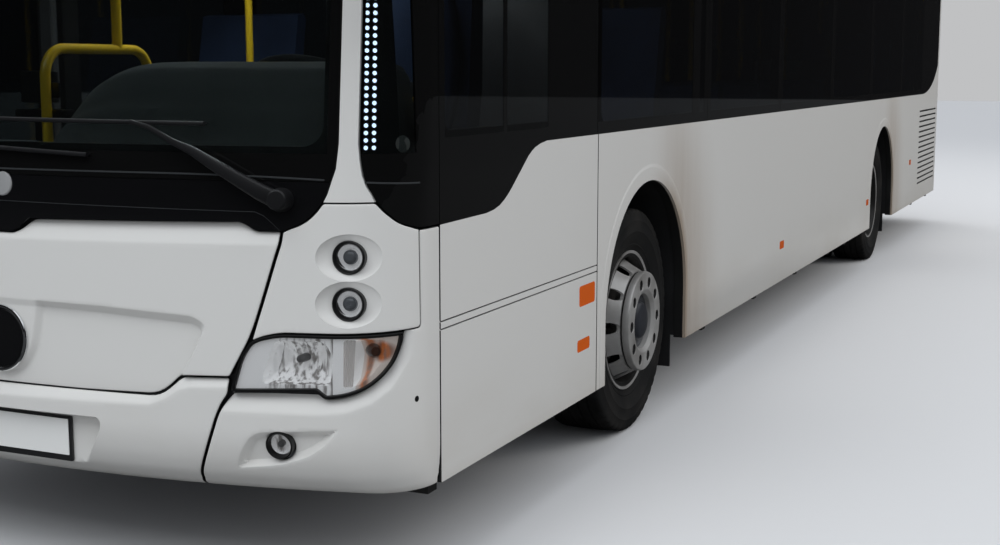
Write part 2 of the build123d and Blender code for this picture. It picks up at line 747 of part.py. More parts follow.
with BuildPart() as floor:
    with BuildSketch(Plane.XZ.offset(-floor_half_width)):
        with BuildLine():
            Polyline((floor_front_x, floor_top), (step_x, floor_top), (step_x, rear_floor_top),
                     (engine_wall_x, rear_floor_top), (engine_wall_x, engine_deck_top),
                     (deck_back_x, engine_deck_top), (deck_back_x, engine_deck_top - floor_thickness),
                     (engine_wall_x - floor_thickness, engine_deck_top - floor_thickness),
                     (engine_wall_x - floor_thickness, rear_floor_top - floor_thickness),
                     (step_x - floor_thickness, rear_floor_top - floor_thickness),
                     (step_x - floor_thickness, floor_top - floor_thickness),
                     (floor_front_x, floor_top - floor_thickness), close=True)
        make_face()
    extrude(amount=2 * floor_half_width)
    add(all_houses.part, mode=Mode.SUBTRACT)
save(floor, "floor")

with BuildPart() as underframe:
    with BuildSketch(Plane.XY.offset(rail_low)):
        for side in (1, -1):
            with Locations(((floor_front_x + tail_x + wall) / 2, side * rail_y)):
                Rectangle(floor_front_x - tail_x - wall, rail_width)
        for x in (floor_front_x - 100, 2250, 1200, 150, -900, -1500, engine_wall_x - 60, tail_x + wall + 60):
            with Locations((x, 0)):
                Rectangle(60, 2 * floor_half_width - 40)
    extrude(amount=rail_top - rail_low)
    add(all_houses.part, mode=Mode.SUBTRACT)
save(underframe, "underframe")

with BuildPart() as engine:
    with BuildSketch(Plane.XY.offset(rail_top)):
        with Locations((tail_x + wall + 560, 60)):
            Rectangle(900, 1250)
    extrude(amount=engine_deck_top - floor_thickness - rail_top - 60)
save(engine, "engine")

# Front axle beam, knuckles and rear axle
beam_size = 84
beam_low_z = 200
kingpin_radius = 24
eye_radius = 48
knuckle_plate_y = kingpin_y + eye_radius + 5
spring_radius = 85
with BuildPart() as front_axle:
    with BuildSketch(Plane.YZ.offset(front_axle_x - beam_size / 2)):
        with BuildLine():
            Polyline(*both_sides([(0, beam_low_z - beam_size / 2), (560, beam_low_z - beam_size / 2), (890, 424),
                                  (kingpin_y, 424), (kingpin_y, 540), (900, 540), (540, beam_low_z + beam_size / 2),
                                  (0, beam_low_z + beam_size / 2)]), close=True)
        make_face()
    extrude(amount=beam_size)
    with BuildSketch(Plane.XY.offset(424)):
        with Locations((front_axle_x, kingpin_y), (front_axle_x, -kingpin_y)):
            Circle(eye_radius)
    extrude(amount=116)
    with BuildSketch(Plane.XY.offset(beam_low_z)):
        with Locations((front_axle_x, rail_y), (front_axle_x, -rail_y)):
            Circle(spring_radius)
    extrude(amount=rail_low - beam_low_z)
    with BuildSketch(Plane.XY.offset(400)):
        with Locations((front_axle_x, kingpin_y), (front_axle_x, -kingpin_y)):
            Circle(kingpin_radius + running)
    extrude(amount=200, mode=Mode.SUBTRACT)
save(front_axle, "front_axle")

spindle_radius = 45
spindle_tip_y = wheel_centre_y + 96
drum_radius = 205
drum_inner_y = 1021
drum_outer_y = 1075
with BuildPart() as knuckle_left:
    with BuildSketch(Plane.XY.offset(380)):
        with Locations((front_axle_x, kingpin_y)):
            Circle(kingpin_radius)
    extrude(amount=204)
    with BuildSketch(Plane.XY.offset(380)):
        with Locations((front_axle_x, kingpin_y + 10)):
            Rectangle(90, 100)
    extrude(amount=38)
    with BuildSketch(Plane.XY.offset(546)):
        with Locations((front_axle_x, kingpin_y + 10)):
            Rectangle(90, 100)
    extrude(amount=38)
    with BuildSketch(Plane.XZ.offset(-knuckle_plate_y)):
        with Locations((front_axle_x, (380 + 584) / 2)):
            Rectangle(110, 204)
    extrude(amount=-(drum_inner_y - knuckle_plate_y))
    with BuildSketch(Plane.XZ.offset(-drum_inner_y)):
        with Locations((front_axle_x, tyre_radius)):
            Circle(drum_radius)
    extrude(amount=-(drum_outer_y - drum_inner_y))
    with BuildSketch(Plane.XZ.offset(-drum_inner_y)):
        with Locations((front_axle_x, tyre_radius)):
            Circle(spindle_radius)
    extrude(amount=-(spindle_tip_y - drum_inner_y))
save(knuckle_left, "knuckle_left")

with BuildPart() as knuckle_right:
    add(mirror(knuckle_left.part, about=Plane.XZ, mode=Mode.PRIVATE))
save(knuckle_right, "knuckle_right")

rear_hub_radius = 105
rear_drum_radius = 190
rear_drum_inner_y = 600
rear_drum_outer_y = 880
rear_spindle_tip_y = wheel_centre_y + 82
with BuildPart() as rear_axle:
    with BuildSketch(Plane.XZ.offset(-rear_drum_inner_y)):
        with Locations((rear_axle_x, tyre_radius)):
            Circle(axle_tube_radius)
    extrude(amount=2 * rear_drum_inner_y)
    for side in (1, -1):
        with BuildSketch(Plane.XZ.offset(-side * rear_drum_inner_y)):
            with Locations((rear_axle_x, tyre_radius)):
                Circle(rear_drum_radius)
        extrude(amount=-side * (rear_drum_outer_y - rear_drum_inner_y))
    with BuildSketch(Plane.XY.offset(rail_top)):
        with Locations((rear_axle_x, rail_y), (rear_axle_x, -rail_y)):
            Circle(spring_radius)
    extrude(amount=tyre_radius - rail_top)
    with BuildSketch(Plane.YZ.offset(rear_axle_x)):
        with Locations((0, tyre_radius)):
            RectangleRounded(330, 170, 60)
    extrude(amount=180, both=True, taper=18)
    with BuildSketch(Plane.XZ.offset(-rear_spindle_tip_y)):
        with Locations((rear_axle_x, tyre_radius)):
            Circle(spindle_radius)
    extrude(amount=2 * rear_spindle_tip_y)
save(rear_axle, "rear_axle")
print("axles done")

# Tyres and wheels, turned about the axle line: a profile of (radius, distance out from the tyre's middle)
tyre_half = [(rim_seat_radius, rim_half_width - 8), (rim_radius + 1, rim_half_width - 1), (390, tyre_width / 2),
             (tyre_radius - 16, tyre_width / 2 - 12), (tyre_radius, tyre_width / 2 - 34)]
tyre_profile = tyre_half + [(radius, -y) for radius, y in reversed(tyre_half)]
rim_barrel = [(rim_seat_radius, -rim_half_width + 6.5), (rim_radius, -rim_half_width), (rim_radius, -rim_half_width - 6),
              (rim_seat_radius - 14, -rim_half_width), (rim_seat_radius - 22, -rim_half_width + 30),
              (rim_seat_radius - 22, rim_half_width - 30), (rim_seat_radius - 14, rim_half_width),
              (rim_radius, rim_half_width + 6), (rim_radius, rim_half_width), (rim_seat_radius, rim_half_width - 6.5)]
barrel_inner_radius = rim_seat_radius - 22
disc_flat_radius = 215
disc_face_front = 150
hub_back = 78
nut_ring_radius = 210
nut_ring_inner = 134
nut_ring_low = 158
nut_ring_high = 184
nut_circle = 167.5
nut_hole_radius = 24
nut_count = 10
disc_thickness = 14
hand_hole_circle = 236
hand_hole_radius = 25
hand_holes = 10
hub_radius = 125
hub_cap_radius = 62


def turned(profile, axle_x, centre_y, outward):
    """A ring turned about an axle: the profile's second value grows away from the bus."""
    with BuildPart() as ring:
        with BuildSketch(Plane.YZ.offset(axle_x)):
            with BuildLine():
                Polyline(*[(centre_y + outward * y, tyre_radius + radius) for radius, y in profile], close=True)
            make_face()
        revolve(axis=Axis((axle_x, 0, tyre_radius), (0, 1, 0)))
    return ring.part


front_disc_profile = [(spindle_radius + running, hub_back), (hub_radius, hub_back),
                      (hub_radius, disc_face_front - disc_thickness), (disc_flat_radius, disc_face_front - disc_thickness),
                      (barrel_inner_radius, 40), (barrel_inner_radius, 62), (disc_flat_radius, disc_face_front),
                      (nut_ring_radius - 27, disc_face_front), (nut_ring_radius - 27, nut_ring_low),
                      (nut_ring_radius - 4, nut_ring_low), (nut_ring_radius, nut_ring_low + 4),
                      (nut_ring_radius, nut_ring_high - 6), (nut_ring_radius - 6, nut_ring_high),
                      (nut_ring_inner + 6, nut_ring_high), (nut_ring_inner, nut_ring_high - 8),
                      (nut_ring_inner - 3, disc_face_front + 2), (hub_cap_radius, disc_face_front + 2),
                      (hub_cap_radius - 4, nut_ring_high - 14), (hub_cap_radius - 20, nut_ring_high - 7),
                      (0, nut_ring_high - 4), (0, hub_back + 24), (spindle_radius + running, hub_back + 24)]
twin_plane = twin_spacing / 2
twin_back = twin_plane - disc_thickness
rear_disc_profile = [(spindle_radius + running, -twin_plane), (disc_flat_radius, -twin_plane),
                     (barrel_inner_radius, -86), (barrel_inner_radius, -64), (disc_flat_radius, -twin_back),
                     (rear_hub_radius + 20, -twin_back), (rear_hub_radius, 50), (80, 92), (0, 96), (0, 87),
                     (spindle_radius + running, 87)]
inner_disc_profile = [(spindle_radius + running, twin_plane), (disc_flat_radius, twin_plane),
                      (barrel_inner_radius, 86), (barrel_inner_radius, 64), (disc_flat_radius, twin_back),
                      (spindle_radius + running, twin_back)]
wheel_places = [  # node ending, axle x, side, whether the wheel is a twin
    ("front_left", front_axle_x, 1, False),
    ("front_right", front_axle_x, -1, False),
    ("rear_left", rear_axle_x, 1, True),
    ("rear_right", rear_axle_x, -1, True),
]
for ending, axle_x, side, twin in wheel_places:
    centre_y = side * wheel_centre_y
    tyre_rings = [turned(tyre_profile, axle_x, centre_y, side)]
    rim_rings = [turned(rim_barrel, axle_x, centre_y, side),
                 turned(rear_disc_profile if twin else front_disc_profile, axle_x, centre_y, side)]
    if twin:
        inner_y = side * (wheel_centre_y - twin_spacing)
        tyre_rings.append(turned(tyre_profile, axle_x, inner_y, side))
        rim_rings += [turned(rim_barrel, axle_x, inner_y, side), turned(inner_disc_profile, axle_x, inner_y, side)]
    with BuildPart() as tyre:
        for ring in tyre_rings:
            add(ring)
    save(tyre, "tyre_" + ending)
    with BuildPart() as wheel:
        for ring in rim_rings:
            add(ring)
        with BuildSketch(Plane.XZ.offset(-side * (wheel_centre_y + 150))):
            with Locations((axle_x, tyre_radius)):
                with PolarLocations(hand_hole_circle, hand_holes):
                    Circle(hand_hole_radius)
        extrude(amount=side * (400 if twin else 150), mode=Mode.SUBTRACT)
        if not twin:
            with BuildSketch(Plane.XZ.offset(-side * (wheel_centre_y + disc_face_front))):
                with Locations((axle_x, tyre_radius)):
                    with PolarLocations(nut_circle, nut_count):
                        Circle(nut_hole_radius)
            extrude(amount=-side * (nut_ring_high - disc_face_front), mode=Mode.SUBTRACT)
    save(wheel, "wheel_" + ending)
print("wheels done")


# Doors: two leaves a doorway, each carried at its middle by an arm above and below, on a turning post.
# The leaf turns back twice as fast as the post, so its leading edge runs along the doorway.
leaf_plane_y = -(half_width - leaf_recess - leaf_thickness / 2)
arm_low_z = sill_height + arm_gap
leaf_low_z = arm_low_z + arm_thickness + arm_gap
arm_high_z = door_top - arm_gap - arm_thickness
leaf_high_z = arm_high_z - arm_gap
leaf_frame = 62
door_glass = 8
for door_name, front_x, back_x in door_portals:
    middle_x = (front_x + back_x) / 2
    for leaf_name, portal_x, facing in (("front", front_x, -1), ("back", back_x, 1)):
        post_x = portal_x + facing * post_inset
        arm_reach = (abs(middle_x - post_x) - leaf_meeting_gap + post_radius + post_gap) / 2
        leaf_length = 2 * (arm_reach - post_radius - post_gap)
        pivot_x = post_x + facing * arm_reach
        with BuildPart() as door_post:
            with BuildSketch(Plane.XY.offset(sill_height + pivot_clearance)):
                with Locations((post_x, leaf_plane_y)):
                    Circle(post_radius)
            extrude(amount=door_top - sill_height - 2 * pivot_clearance)
            for arm_z in (arm_low_z, arm_high_z):
                with BuildSketch(Plane.XY.offset(arm_z)):
                    with Locations(((post_x + pivot_x) / 2, leaf_plane_y)):
                        SlotCenterToCenter(arm_reach, arm_width * 0.8)
                    with Locations((pivot_x, leaf_plane_y)):
                        Circle(pivot_radius + pivot_clearance, mode=Mode.SUBTRACT)
                extrude(amount=arm_thickness)
        save(door_post, door_name + "_post_" + leaf_name)
        with BuildPart() as door_leaf:
            with BuildSketch(Plane.XZ.offset(-(leaf_plane_y + leaf_thickness / 2))):
                with Locations((pivot_x, (leaf_low_z + leaf_high_z) / 2)):
                    Rectangle(leaf_length, leaf_high_z - leaf_low_z)
                    Rectangle(leaf_length - 2 * leaf_frame, leaf_high_z - leaf_low_z - 2 * leaf_frame,
                              mode=Mode.SUBTRACT)
            extrude(amount=leaf_thickness)
            for pin_z in (arm_low_z, leaf_high_z):
                with BuildSketch(Plane.XY.offset(pin_z)):
                    with Locations((pivot_x, leaf_plane_y)):
                        Circle(pivot_radius)
                extrude(amount=arm_gap + arm_thickness)
        save(door_leaf, door_name + "_leaf_" + leaf_name)
        with BuildPart() as leaf_glass:
            with BuildSketch(Plane.XZ.offset(-(leaf_plane_y + door_glass / 2))):
                with Locations((pivot_x, (leaf_low_z + leaf_high_z) / 2)):
                    Rectangle(leaf_length - 2 * leaf_frame, leaf_high_z - leaf_low_z - 2 * leaf_frame)
            extrude(amount=door_glass)
        save(leaf_glass, door_name + "_glass_" + leaf_name)
        print(door_name, leaf_name, "post", post_x, leaf_plane_y, "pivot", pivot_x, "leaf", leaf_length)
print("doors done")


# Lamps and reflectors
lamp_skin = nose_shell(400, 1175, 4, 90)
with BuildPart() as round_lamp_left:
    with BuildSketch(Plane.YZ.offset(lamp_panel_back_x + 20)):
        for lamp_z in round_lamp_heights:
            with Locations((round_lamp_y, lamp_z)):
                Circle(round_lamp_radius - 9)
        with Locations((fog_lamp_y, fog_lamp_z)):
            Circle(fog_lamp_radius)
    extrude(amount=400)
    add(lamp_skin, mode=Mode.INTERSECT)
housing_shell = nose_shell(600, 820, 8, 100)
hollow_shell = nose_shell(600, 820, 7, 94)
with BuildPart() as housing_room:
    add(hollow_shell)
    add(housing_hollow, mode=Mode.INTERSECT)
with BuildPart() as housing_left:
    add(housing_shell)
    add(housing_block, mode=Mode.INTERSECT)
    add(housing_room.part, mode=Mode.SUBTRACT)
with BuildPart() as front_lamps:
    add(round_lamp_left.part)
    add(housing_left.part)
    mirror(about=Plane.XZ)
save(front_lamps, "front_lamps")

with BuildPart() as side_markers:
    for side, side_rows in ((1, marker_rows_left), (-1, marker_rows_right)):
        with BuildSketch(Plane.XZ.offset(-side * half_width)):
            for offset_x, z, length, tall in side_rows:
                with Locations((front_axle_x + offset_x, z)):
                    RectangleRounded(length, tall, 12)
        extrude(amount=side * marker_depth)
save(side_markers, "side_markers")
print("lamps done")

# Mirrors on arms from the roof edge, and the two wipers
mirror_arm_radius = 16
mirror_arm_z = 2725
mirror_y = 1150
mirror_width = 240
mirror_depth = 90
mirror_head_high = 2350
mirror_head_low = 1880
mirror_x = nose_x + mirror_reach - mirror_depth / 2
with BuildPart() as mirror_left:
    with BuildLine():
        FilletPolyline((nose_x - 310, mirror_y - 150, mirror_arm_z), (mirror_x, mirror_y - 40, mirror_arm_z),
                       (mirror_x, mirror_y, mirror_head_high - 30), radius=70)
    with BuildSketch(Plane(origin=(nose_x - 310, mirror_y - 150, mirror_arm_z),
                           z_dir=(mirror_x - nose_x + 310, 110, 0))):
        Circle(mirror_arm_radius)
    sweep()
    with BuildSketch(Plane.YZ.offset(mirror_x - mirror_depth / 2)):
        with Locations((mirror_y, (mirror_head_low + mirror_head_high) / 2)):
            RectangleRounded(mirror_width, mirror_head_high - mirror_head_low, 50)
    extrude(amount=mirror_depth, taper=8)
    for below, above in zip(roof_outer, roof_outer[1:]):
        loft([below, above], ruled=True, mode=Mode.SUBTRACT)
with BuildPart() as mirrors:
    add(mirror_left.part)
    mirror(about=Plane.XZ)
save(mirrors, "mirrors")



def front_point(y, z, ahead):
    """The point at (y, z) that lies a given distance ahead of the windscreen."""
    sagitta = nose_radius - math.sqrt(nose_radius ** 2 - y * y)
    return (nose_x - interpolate(z, 1) - sagitta + ahead, y, z)


wiper_rods = [  # radius and the points (y, z, distance ahead of the glass) that the rod runs through
    (8, [(953, 1180, 30), (840, 1240, 34), (640, 1340, 30), (363, 1399, 20)]),
    (7, [(0, 1402, 12), (363, 1397, 12), (726, 1390, 12)]),
    (8, [(-573, 1180, 30), (-300, 1255, 34), (-60, 1310, 22)]),
    (7, [(-360, 1318, 12), (0, 1310, 12), (355, 1300, 12)]),
]
wiper_pivots = [(953, 1180), (-573, 1180)]
wiper_solids = []
for rod_radius, rod_points in wiper_rods:
    with BuildPart() as rod:
        with BuildLine() as rod_line:
            Spline(*[front_point(*point) for point in rod_points])
        with BuildSketch(Plane(origin=rod_line.line @ 0, z_dir=rod_line.line % 0)):
            Circle(rod_radius)
        sweep()
    wiper_solids.append(rod.part)
with BuildPart() as wipers:
    for rod_solid in wiper_solids:
        add(rod_solid)
    for y, z in wiper_pivots:
        with BuildSketch(Plane.YZ.offset(front_point(y, z, 42)[0])):
            with Locations((y, z)):
                Circle(19)
        extrude(amount=-60)
    add(nose_solid(1060, 1500, 0), mode=Mode.SUBTRACT)
save(wipers, "wipers")
print("mirrors and wipers done")

# Cab: platform, partition behind the driver, dash with its pod, steering wheel and seat
cab_floor_z = 670
cab_right_y = 150
cab_left_y = half_width - wall
cab_back_x = front_axle_x + 690
dash_back_x = front_seam_x - 90
dash_top = 1200
pod_top = 1550
partition_thickness = 30
driver_y = 650
with BuildPart() as cab_partition:
    with BuildSketch(Plane.XY.offset(floor_top)):
        with Locations(((cab_back_x + dash_back_x) / 2, (cab_right_y + cab_left_y) / 2)):
            Rectangle(dash_back_x - cab_back_x, cab_left_y - cab_right_y)
    extrude(amount=cab_floor_z - floor_top)
    with BuildSketch(Plane.XY.offset(cab_floor_z)):
        with Locations((cab_back_x + partition_thickness / 2, (cab_right_y + cab_left_y) / 2)):
            Rectangle(partition_thickness, cab_left_y - cab_right_y)
    extrude(amount=1900 - cab_floor_z)
    with BuildSketch(Plane.XY.offset(cab_floor_z)):
        with Locations(((cab_back_x + dash_back_x) / 2, cab_right_y + partition_thickness / 2)):
            Rectangle(dash_back_x - cab_back_x, partition_thickness)
    extrude(amount=1260 - cab_floor_z)
save(cab_partition, "cab_partition")

dash_inset = 110
dash_sections = [nose_section(z, dash_inset, dash_back_x) for z in (820, dash_top)]
steer_tilt = 28
steer_x = dash_back_x - 300
steer_z = 1470
steer_radius = 225
steer_rim = 15
column_length = 720
shaft_radius = 22
steer_plane = Plane(origin=(steer_x, driver_y, steer_z),
                    z_dir=(-math.sin(math.radians(steer_tilt)), 0, math.cos(math.radians(steer_tilt))))
with BuildPart() as dashboard:
    loft(dash_sections, ruled=True)
    with BuildSketch(Plane.XY.offset(floor_top)):
        with Locations((dash_back_x + 20, 0)):
            Rectangle(40, 2 * cab_left_y - 10)
    extrude(amount=dash_top - floor_top)
    with BuildSketch(Plane.XZ.offset(-1120)):
        with BuildLine():
            Polyline((dash_back_x - 60, 1000), (dash_back_x, 1000), (dash_back_x + 200, dash_top - 10),
                     (dash_back_x + 180, pod_top - 80), (dash_back_x + 90, pod_top), (dash_back_x - 10, pod_top - 20),
                     (dash_back_x - 130, 1290), (dash_back_x - 110, 1230), close=True)
        make_face()
    extrude(amount=1120 - 210)
    with BuildSketch(steer_plane.offset(-96)):
        Circle(45)
    extrude(amount=-column_length)
    with BuildSketch(steer_plane.offset(-96)):
        Circle(shaft_radius + running)
    extrude(amount=-60, mode=Mode.SUBTRACT)
save(dashboard, "dashboard")

with BuildPart() as steering_wheel:
    with Locations(steer_plane):
        Torus(steer_radius, steer_rim)
        Cylinder(62, 34)
        with PolarLocations(steer_radius / 2 + 8, 4, start_angle=45):
            Box(steer_radius - 45, 38, 14)
    with BuildSketch(steer_plane.offset(-150)):
        Circle(shaft_radius)
    extrude(amount=150)
save(steering_wheel, "steering_wheel")

with BuildPart() as driver_seat:
    with BuildSketch(Plane.XZ.offset(-(driver_y + 240))):
        with BuildLine():
            Polyline((4300, 1080), (4330, 1170), (4800, 1200), (4820, 1120), (4690, 1070), (4480, 1060), close=True)
        make_face()
        with BuildLine():
            Polyline((4300, 1080), (4400, 1100), (4330, 1500), (4300, 1880), (4210, 1880), (4220, 1480), close=True)
        make_face()
    extrude(amount=480)
    with BuildSketch(Plane.XY.offset(cab_floor_z)):
        with Locations((4540, driver_y)):
            Rectangle(380, 380)
    extrude(amount=400)
save(driver_seat, "driver_seat")
print("cab done")

# Passenger seats: forward facing pairs, a side profile drawn once and set at each place
seat_profile = [(0, 0), (200, 0), (200, 400), (250, 410), (440, 420), (460, 470), (430, 490), (60, 480), (-60, 1080),
                (-110, 1090), (-130, 1060), (-20, 440), (0, 380)]
seat_pair_width = 880
seat_rows = [  # x of the seat's back foot, side, floor height
    (2150, 1, 370),
    (1350, 1, 370),
    (550, 1, 370),
    (-250, 1, 370),
    (-1050, 1, 370),
    (2150, -1, 370),
    (1350, -1, 370),
    (-1050, -1, 370),
    (-3800, 1, 620),
    (-3800, -1, 620),
    (-4600, 1, 620),
    (-4600, -1, 620),
]
arch_seat_low = 960
arch_seat_width = 560
arch_seats = [(-2400, 1), (-3120, 1), (-2400, -1), (-3120, -1), (3100, 1), (3100, -1)]
with BuildPart() as passenger_seats:
    for foot_x, side, base_z in seat_rows:
        with BuildSketch(Plane.XZ.offset(-(side * (cab_left_y - 20)))):
            with BuildLine():
                Polyline(*[(foot_x + x, base_z + z) for x, z in seat_profile], close=True)
            make_face()
        extrude(amount=side * seat_pair_width)
    for foot_x, side in arch_seats:
        with BuildSketch(Plane.XZ.offset(-(side * (cab_left_y - 20)))):
            with BuildLine():
                Polyline(*[(foot_x + x, house_top + liner + z - 380) for x, z in seat_profile[2:-1]],
                         (foot_x, arch_seat_low), (foot_x + 200, arch_seat_low), close=True)
            make_face()
        extrude(amount=side * arch_seat_width)
    add(all_houses.part, mode=Mode.SUBTRACT)
save(passenger_seats, "passenger_seats")

# Yellow handrails: a rail each side of the aisle on poles, and the hoop beside the cab
rail_height = 2350
handrail_radius = 17
pole_radius = 15
pole_rows = [  # x, side, floor height
    (3980, -1, 370), (2560, 1, 370), (2560, -1, 370), (960, -1, 370), (960, 1, 370), (-480, -1, 370), (-480, 1, 370),
    (-1800, 1, 620), (-1800, -1, 620), (-3300, 1, 620), (-3300, -1, 620), (-4780, 1, 620), (-4780, -1, 620),
]
handrail_y = 290
hoop_back_x = 4870
hoop_front_x = 5400
hoop_y = -120
hoop_top = 1610
with BuildPart() as cab_hoop:
    with BuildLine():
        FilletPolyline((hoop_back_x, hoop_y, floor_top), (hoop_back_x, hoop_y, hoop_top),
                       (hoop_front_x, hoop_y, hoop_top), (hoop_front_x, hoop_y, dash_top), radius=90)
    with BuildSketch(Plane.XY.offset(floor_top)):
        with Locations((hoop_back_x, hoop_y)):
            Circle(handrail_radius)
    sweep()
with BuildPart() as handrails:
    for x, side, base_z in pole_rows:
        with BuildSketch(Plane.XY.offset(base_z)):
            with Locations((x, side * handrail_y)):
                Circle(pole_radius)
        extrude(amount=rail_height - base_z)
    with BuildSketch(Plane.YZ.offset(-4800)):
        with Locations((handrail_y, rail_height), (-handrail_y, rail_height)):
            Circle(handrail_radius)
    extrude(amount=8800)
    add(cab_hoop.part)
save(handrails, "handrails")
print("interior done")

# Roof unit
roof_unit_front_x = -2300
roof_unit_back_x = -4900
roof_unit_half_width = 820
roof_unit_top = 3120
with BuildPart() as roof_unit:
    with BuildSketch(Plane.XY.offset(roof_base + 200)):
        with Locations(((roof_unit_front_x + roof_unit_back_x) / 2, 0)):
            RectangleRounded(roof_unit_front_x - roof_unit_back_x, 2 * roof_unit_half_width, 120)
    extrude(amount=roof_unit_top - roof_base - 200, taper=14)
    for below, above in zip(roof_outer, roof_outer[1:]):
        loft([below, above], ruled=True, mode=Mode.SUBTRACT)
save(roof_unit, "roof_unit")
print("all done")
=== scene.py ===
import bpy
import json
import math
import numpy as np
from mathutils import Matrix, Vector
from mathutils.geometry import delaunay_2d_cdt


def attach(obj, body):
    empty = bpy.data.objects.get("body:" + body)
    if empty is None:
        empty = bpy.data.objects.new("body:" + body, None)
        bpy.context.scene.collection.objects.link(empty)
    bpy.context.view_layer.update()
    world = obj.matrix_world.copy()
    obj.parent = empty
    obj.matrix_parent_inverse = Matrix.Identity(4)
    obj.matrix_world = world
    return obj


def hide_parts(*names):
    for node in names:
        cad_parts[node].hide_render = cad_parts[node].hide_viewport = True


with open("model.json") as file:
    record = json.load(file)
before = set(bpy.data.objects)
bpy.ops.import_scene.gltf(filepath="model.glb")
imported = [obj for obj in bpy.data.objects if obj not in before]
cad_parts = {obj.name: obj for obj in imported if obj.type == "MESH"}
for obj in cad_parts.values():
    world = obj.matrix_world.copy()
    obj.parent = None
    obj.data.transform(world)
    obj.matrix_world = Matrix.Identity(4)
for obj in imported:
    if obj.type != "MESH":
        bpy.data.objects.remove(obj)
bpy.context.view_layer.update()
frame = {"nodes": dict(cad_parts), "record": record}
nodes = frame["nodes"]
scene = bpy.context.scene
axles = {"front": 3.36, "rear": -2.64}
wheelHeight, wheelMiddle, twinInner = 0.479, 1.070, 0.754
print("frame loaded")


# Materials. Every finish is a Principled shader; dirt and unevenness come from noise over object coordinates.
def newMaterial(name, color, rough=0.5, metal=0.0, coat=0.0, glassiness=0.0, glow=0.0, alpha=1.0):
    # each constant goes straight onto the shader's socket; glow = strength of light in the same colour
    material = bpy.data.materials.new(name)
    material.use_nodes = True
    sockets = material.node_tree.nodes["Principled BSDF"].inputs
    sockets["Base Color"].default_value = (*color, 1)
    constants = {"Roughness": rough, "Metallic": metal, "Coat Weight": coat, "Coat Roughness": 0.04,
                 "Transmission Weight": glassiness, "Alpha": alpha}
    for key, value in constants.items():
        sockets[key].default_value = value
    if glow:
        sockets["Emission Color"].default_value = (*color, 1)
        sockets["Emission Strength"].default_value = glow
    return material


class Graph:  # short names for the nodes of one material, or of the world

    def __init__(self, owner, shader="Principled BSDF", coordinates="Object"):
        # the node tree, its shader's sockets and the coordinates that noise and zones are laid over
        self.tree = owner.node_tree
        self.sockets = self.tree.nodes[shader].inputs
        self.coordinates = self.tree.nodes.new("ShaderNodeTexCoord").outputs[coordinates]

    def put(self, source, target):
        # a number or a colour is set on the socket, an output is linked to it
        if isinstance(source, (int, float)):
            target.default_value = source
        elif isinstance(source, tuple):
            target.default_value = (*source, 1)
        else:
            self.tree.links.new(source, target)

    def noise(self, scale, detail=3.0, stretch=(1, 1, 1)):
        # noise over the coordinates times stretch
        mapping = self.tree.nodes.new("ShaderNodeMapping")
        mapping.inputs["Scale"].default_value = stretch
        self.put(self.coordinates, mapping.inputs["Vector"])
        node = self.tree.nodes.new("ShaderNodeTexNoise")
        node.inputs["Scale"].default_value = scale
        node.inputs["Detail"].default_value = detail
        self.put(mapping.outputs["Vector"], node.inputs["Vector"])
        return node.outputs["Fac"]

    def work(self, operation, *values):
        # the operation over one, two or three values
        node = self.tree.nodes.new("ShaderNodeMath")
        node.operation = operation
        for value, socket in zip(values, node.inputs):
            self.put(value, socket)
        return node.outputs[0]

    def times(self, first, *others):
        # product of all values
        for other in others:
            first = self.work("MULTIPLY", first, other)
        return first

    def most(self, first, *others):
        # the largest value
        for other in others:
            first = self.work("MAXIMUM", first, other)
        return first

    def radius(self, first, second):
        # square root of the sum of both squares
        return self.work("SQRT", self.work("ADD", self.times(first, first), self.times(second, second)))

    def ramp(self, value, low, high, start=0.0, end=1.0, shape="SMOOTHSTEP"):
        # start below low, end above high, and a smooth or straight change between
        node = self.tree.nodes.new("ShaderNodeMapRange")
        node.interpolation_type = shape
        self.put(value, node.inputs["Value"])
        for key, number in zip(("From Min", "From Max", "To Min", "To Max"), (low, high, start, end)):
            node.inputs[key].default_value = number
        return node.outputs["Result"]

    def axes(self):
        # x, y and z of the coordinates
        node = self.tree.nodes.new("ShaderNodeSeparateXYZ")
        self.put(self.coordinates, node.inputs[0])
        return node.outputs

    def mix(self, factor, first, second):
        # first where the factor is 0, second where it is 1
        node = self.tree.nodes.new("ShaderNodeMix")
        node.data_type = "RGBA"
        self.put(factor, node.inputs["Factor"])
        self.put(first, node.inputs[6])
        self.put(second, node.inputs[7])
        return node.outputs[2]

    def byRay(self, camera, others):
        # one colour for camera rays, and for each other kind of ray its own
        kinds = self.tree.nodes.new("ShaderNodeLightPath").outputs
        color = others[0][1]
        for kind, value in others + [("Is Camera Ray", camera)]:
            color = self.mix(kinds[kind], color, value)
        return color

    def bump(self, height, strength, distance):
        # the surface seems raised by height times distance
        node = self.tree.nodes.new("ShaderNodeBump")
        node.inputs["Strength"].default_value = strength
        node.inputs["Distance"].default_value = distance
        self.put(height, node.inputs["Height"])
        self.put(node.outputs["Normal"], self.sockets["Normal"])


paintSettings = {
    "white": (0.70, 0.69, 0.665), "film": (0.54, 0.505, 0.45), "dust": (0.28, 0.205, 0.14),
    "innerBlack": (0.008, 0.008, 0.008), "coat": 0.35, "rough": 0.34, "dustRough": 0.4,
    "skirt": (0.25, 0.75), "filmShare": 0.5,  # film grows from the waist down to the skirt
    "archZ": 0.54, "wide": (0.52, 1.22, 0.60), "rim": (0.54, 0.60, 0.34),  # by distance from an arch's centre
    "behind": (-0.45, 0.05, 1.0, 0.10), "foot": (0.26, 0.36, 0.30), "dustMost": 0.85,
    "lip": (0.592, 0.610), "lipSkin": 1.2745, "lipHeight": 0.006,
    "innerSkin": 1.2707, "archDepth": (0.60, 0.62, 0.008), "inside": (-0.227, 5.555), "insideTop": 2.63,
    "sideSkin": 1.2, "seam": (4.0, 0.004), "seamTop": 1.3, "wallEnd": (5.3382, 0.003),
}


